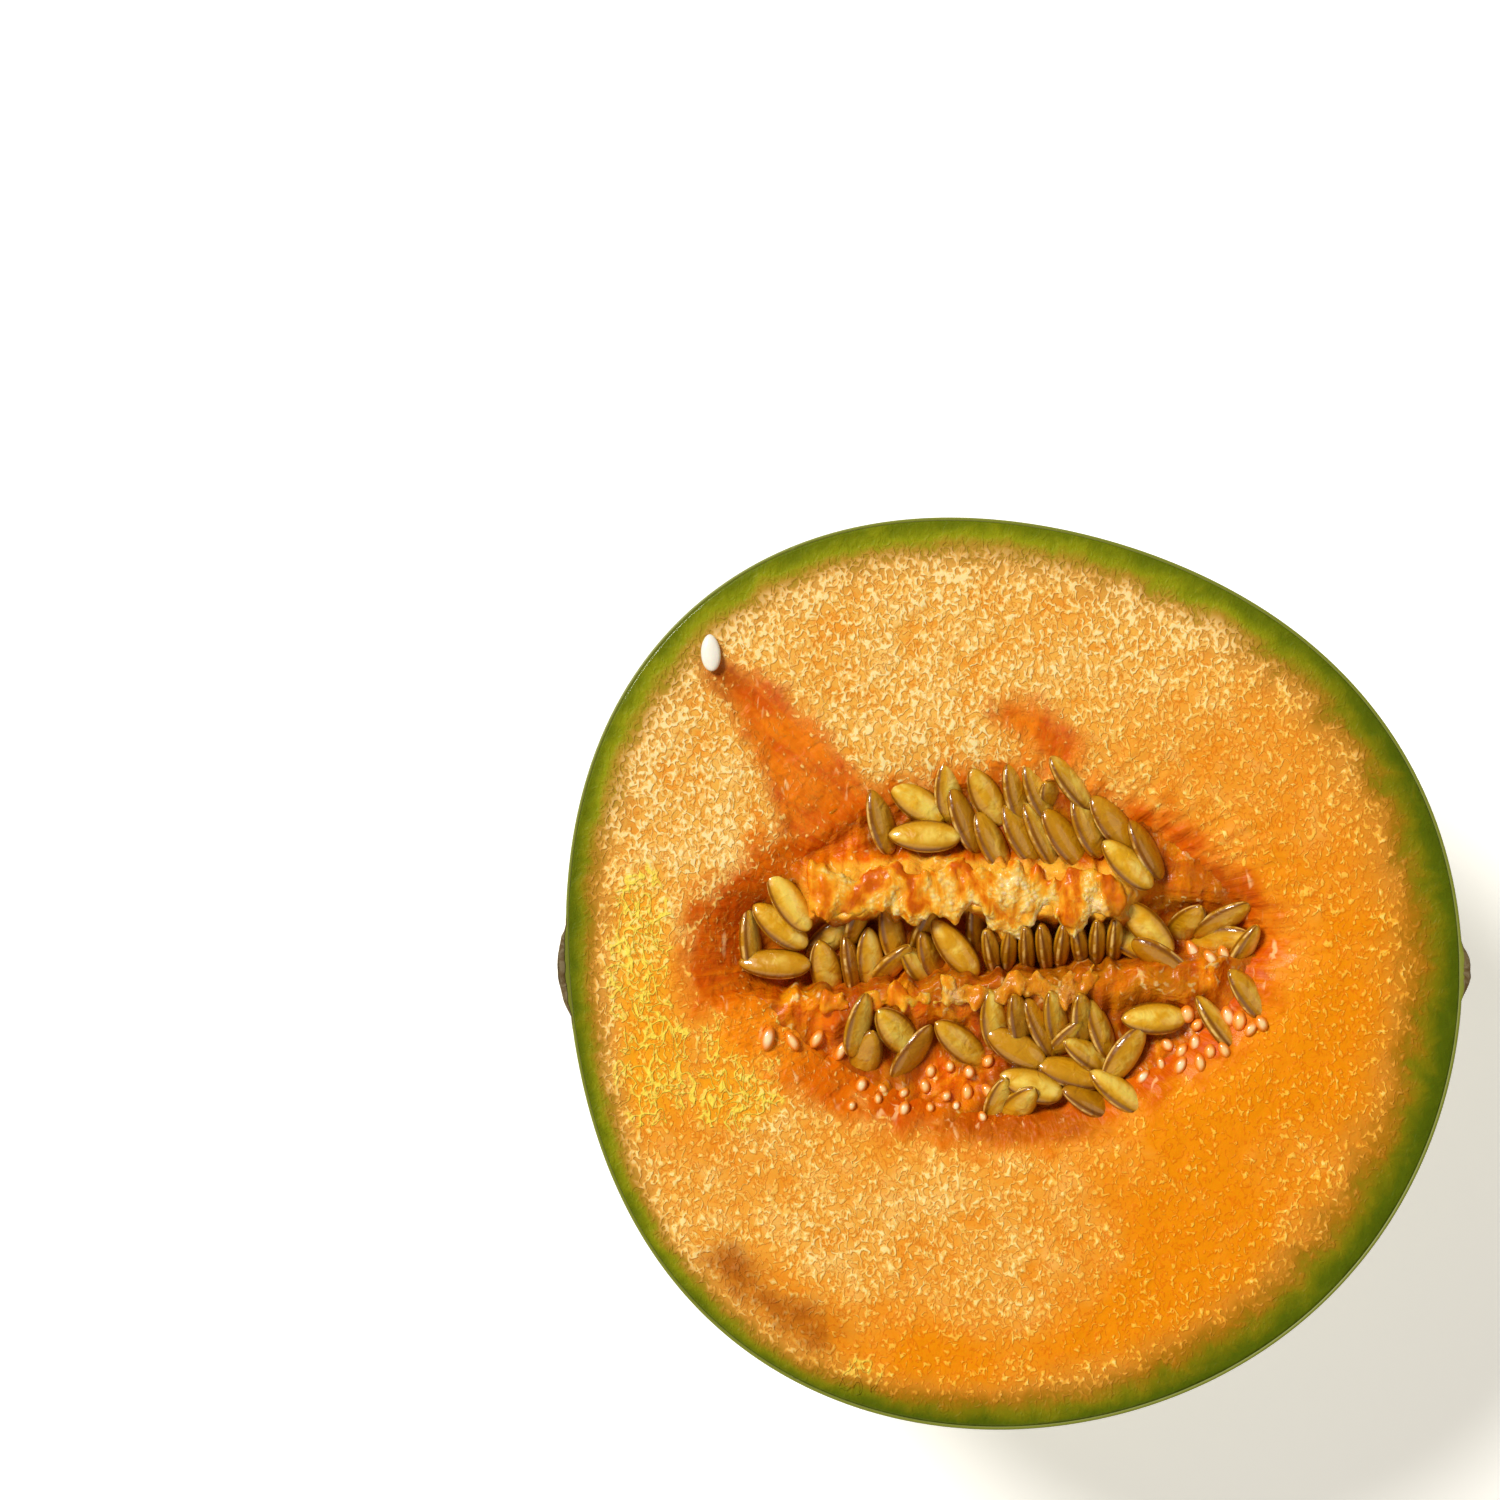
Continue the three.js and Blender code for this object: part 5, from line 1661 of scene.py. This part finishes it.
def beads_piece():
    """The unripe seeds in the cavity, rows of little beads."""
    chance = np.random.default_rng(SEED_OF_CHANCE + 1)
    points, turned, sized, tones = [], [], [], []
    for start, end, count, row_size, length in BEAD_ROWS:
        for i in range(count):
            share = i / (count - 1)
            x = mix(start[0], end[0], share)
            y = mix(start[1], end[1], share) + BEAD_SWAY * math.sin(2.4 * i + start[0])
            height = shown_height(np.float64(x), np.float64(y)) + BEAD_PROUD
            points.append((x, y, HEIGHT + height))
            turned.append((0.0, 0.0, math.radians(mix(50, 130, chance.random()))))
            size = row_size * mix(0.8, 1.2, chance.random())
            sized.append((size * length * mix(0.85, 1.15, chance.random()), size, size))
            tones.append(chance.random())
    shape = seed_shape("bead_shape", 2 * BEAD_RADIUS, 1.8 * BEAD_RADIUS, 1.6 * BEAD_RADIUS, 10, 10)
    piece = point_cloud("melon_unripe_seeds", points, turned, sized, tones)
    return scattered(piece, "beads on points", shape, bead_material())


def stray_piece():
    """The one unripe seed that lies on the cut face."""
    x, y = STRAY_SEED["at"]
    shape = seed_shape("stray_shape", STRAY_SEED["length"], STRAY_SEED["width"], STRAY_SEED["thickness"])
    piece = point_cloud(
        "melon_stray_seed", [(x, y, HEIGHT + STRAY_SEED["proud"])],
        [(0, 0, math.radians(STRAY_SEED["turn"]))], [(1, 1, 1)], [1.0],
    )
    return scattered(piece, "stray seed on its point", shape, stray_material())


def keep(piece, replaced):
    """Ties a finished piece to the frame."""
    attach(piece, "root")
    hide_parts(replaced)


# Surroundings

TABLE_SIDE = 6000.0


def daylight(name, place, strength, width, colour):
    """Even light from the direction of a place, as wide in the sky as the angle given."""
    data = bpy.data.lights.new(name, "SUN")
    data.energy = strength
    data.angle = math.radians(width)
    data.color = colour
    light = bpy.data.objects.new(name, data)
    light.rotation_mode = "QUATERNION"
    light.rotation_quaternion = (-Vector(place)).to_track_quat("-Z", "Y")
    bpy.context.scene.collection.objects.link(light)


def surroundings():
    daylight("key", place=(-0.56, 0.5, 0.82), strength=3.35, width=18, colour=(1.0, 0.97, 0.92))
    daylight("right fill", place=(0.9, 0.1, 0.7), strength=0.35, width=40, colour=(1.0, 0.86, 0.66))
    daylight("near fill", place=(-0.2, -0.9, 0.7), strength=0.7, width=60, colour=(1.0, 0.86, 0.62))
    world = bpy.data.worlds.new("soft daylight")
    world.use_nodes = True
    background = world.node_tree.nodes["Background"]
    background.inputs["Color"].default_value = (1.0, 0.9, 0.76, 1.0)
    background.inputs["Strength"].default_value = 0.09
    scene = bpy.context.scene
    scene.world = world
    scene.view_settings.view_transform = "Standard"
    half = TABLE_SIDE / 2 * MM
    corners = [(-half, -half, 0), (half, -half, 0), (half, half, 0), (-half, half, 0)]
    mesh = bpy.data.meshes.new("table")
    mesh.from_pydata(corners, [], [(0, 1, 2, 3)])
    table = bpy.data.objects.new("table", mesh)
    table.data.materials.append(floor_material())
    scene.collection.objects.link(table)


# The camera looks straight at the cut face. A pixel of the square picture is a set size on the face.
IMAGE_PIXELS = 1500
MM_PER_PIXEL = 0.17
ORIGIN_PIXEL = (1005.5, 971.0)
CAMERA_DISTANCE = 620.0
SENSOR_WIDTH = 36.0


def camera():
    data = bpy.data.cameras.new("camera")
    data.sensor_width = SENSOR_WIDTH
    data.lens = SENSOR_WIDTH * CAMERA_DISTANCE / (IMAGE_PIXELS * MM_PER_PIXEL)
    eye = bpy.data.objects.new("camera", data)
    middle = IMAGE_PIXELS / 2
    x = (middle - ORIGIN_PIXEL[0]) * MM_PER_PIXEL
    y = (ORIGIN_PIXEL[1] - middle) * MM_PER_PIXEL
    eye.location = Vector((x, y, HEIGHT + CAMERA_DISTANCE)) * MM
    bpy.context.scene.collection.objects.link(eye)
    bpy.context.scene.camera = eye


camera()
surroundings()
keep(flesh_piece(), "melon_flesh")
keep(rind_piece(), "melon_flesh")
keep(stray_piece(), "melon_flesh")
keep(pulp_piece(), "seed_pulp")
keep(crumbs_piece(), "seed_pulp")
keep(seeds_piece(), "seed_pulp")
keep(beads_piece(), "seed_pulp")
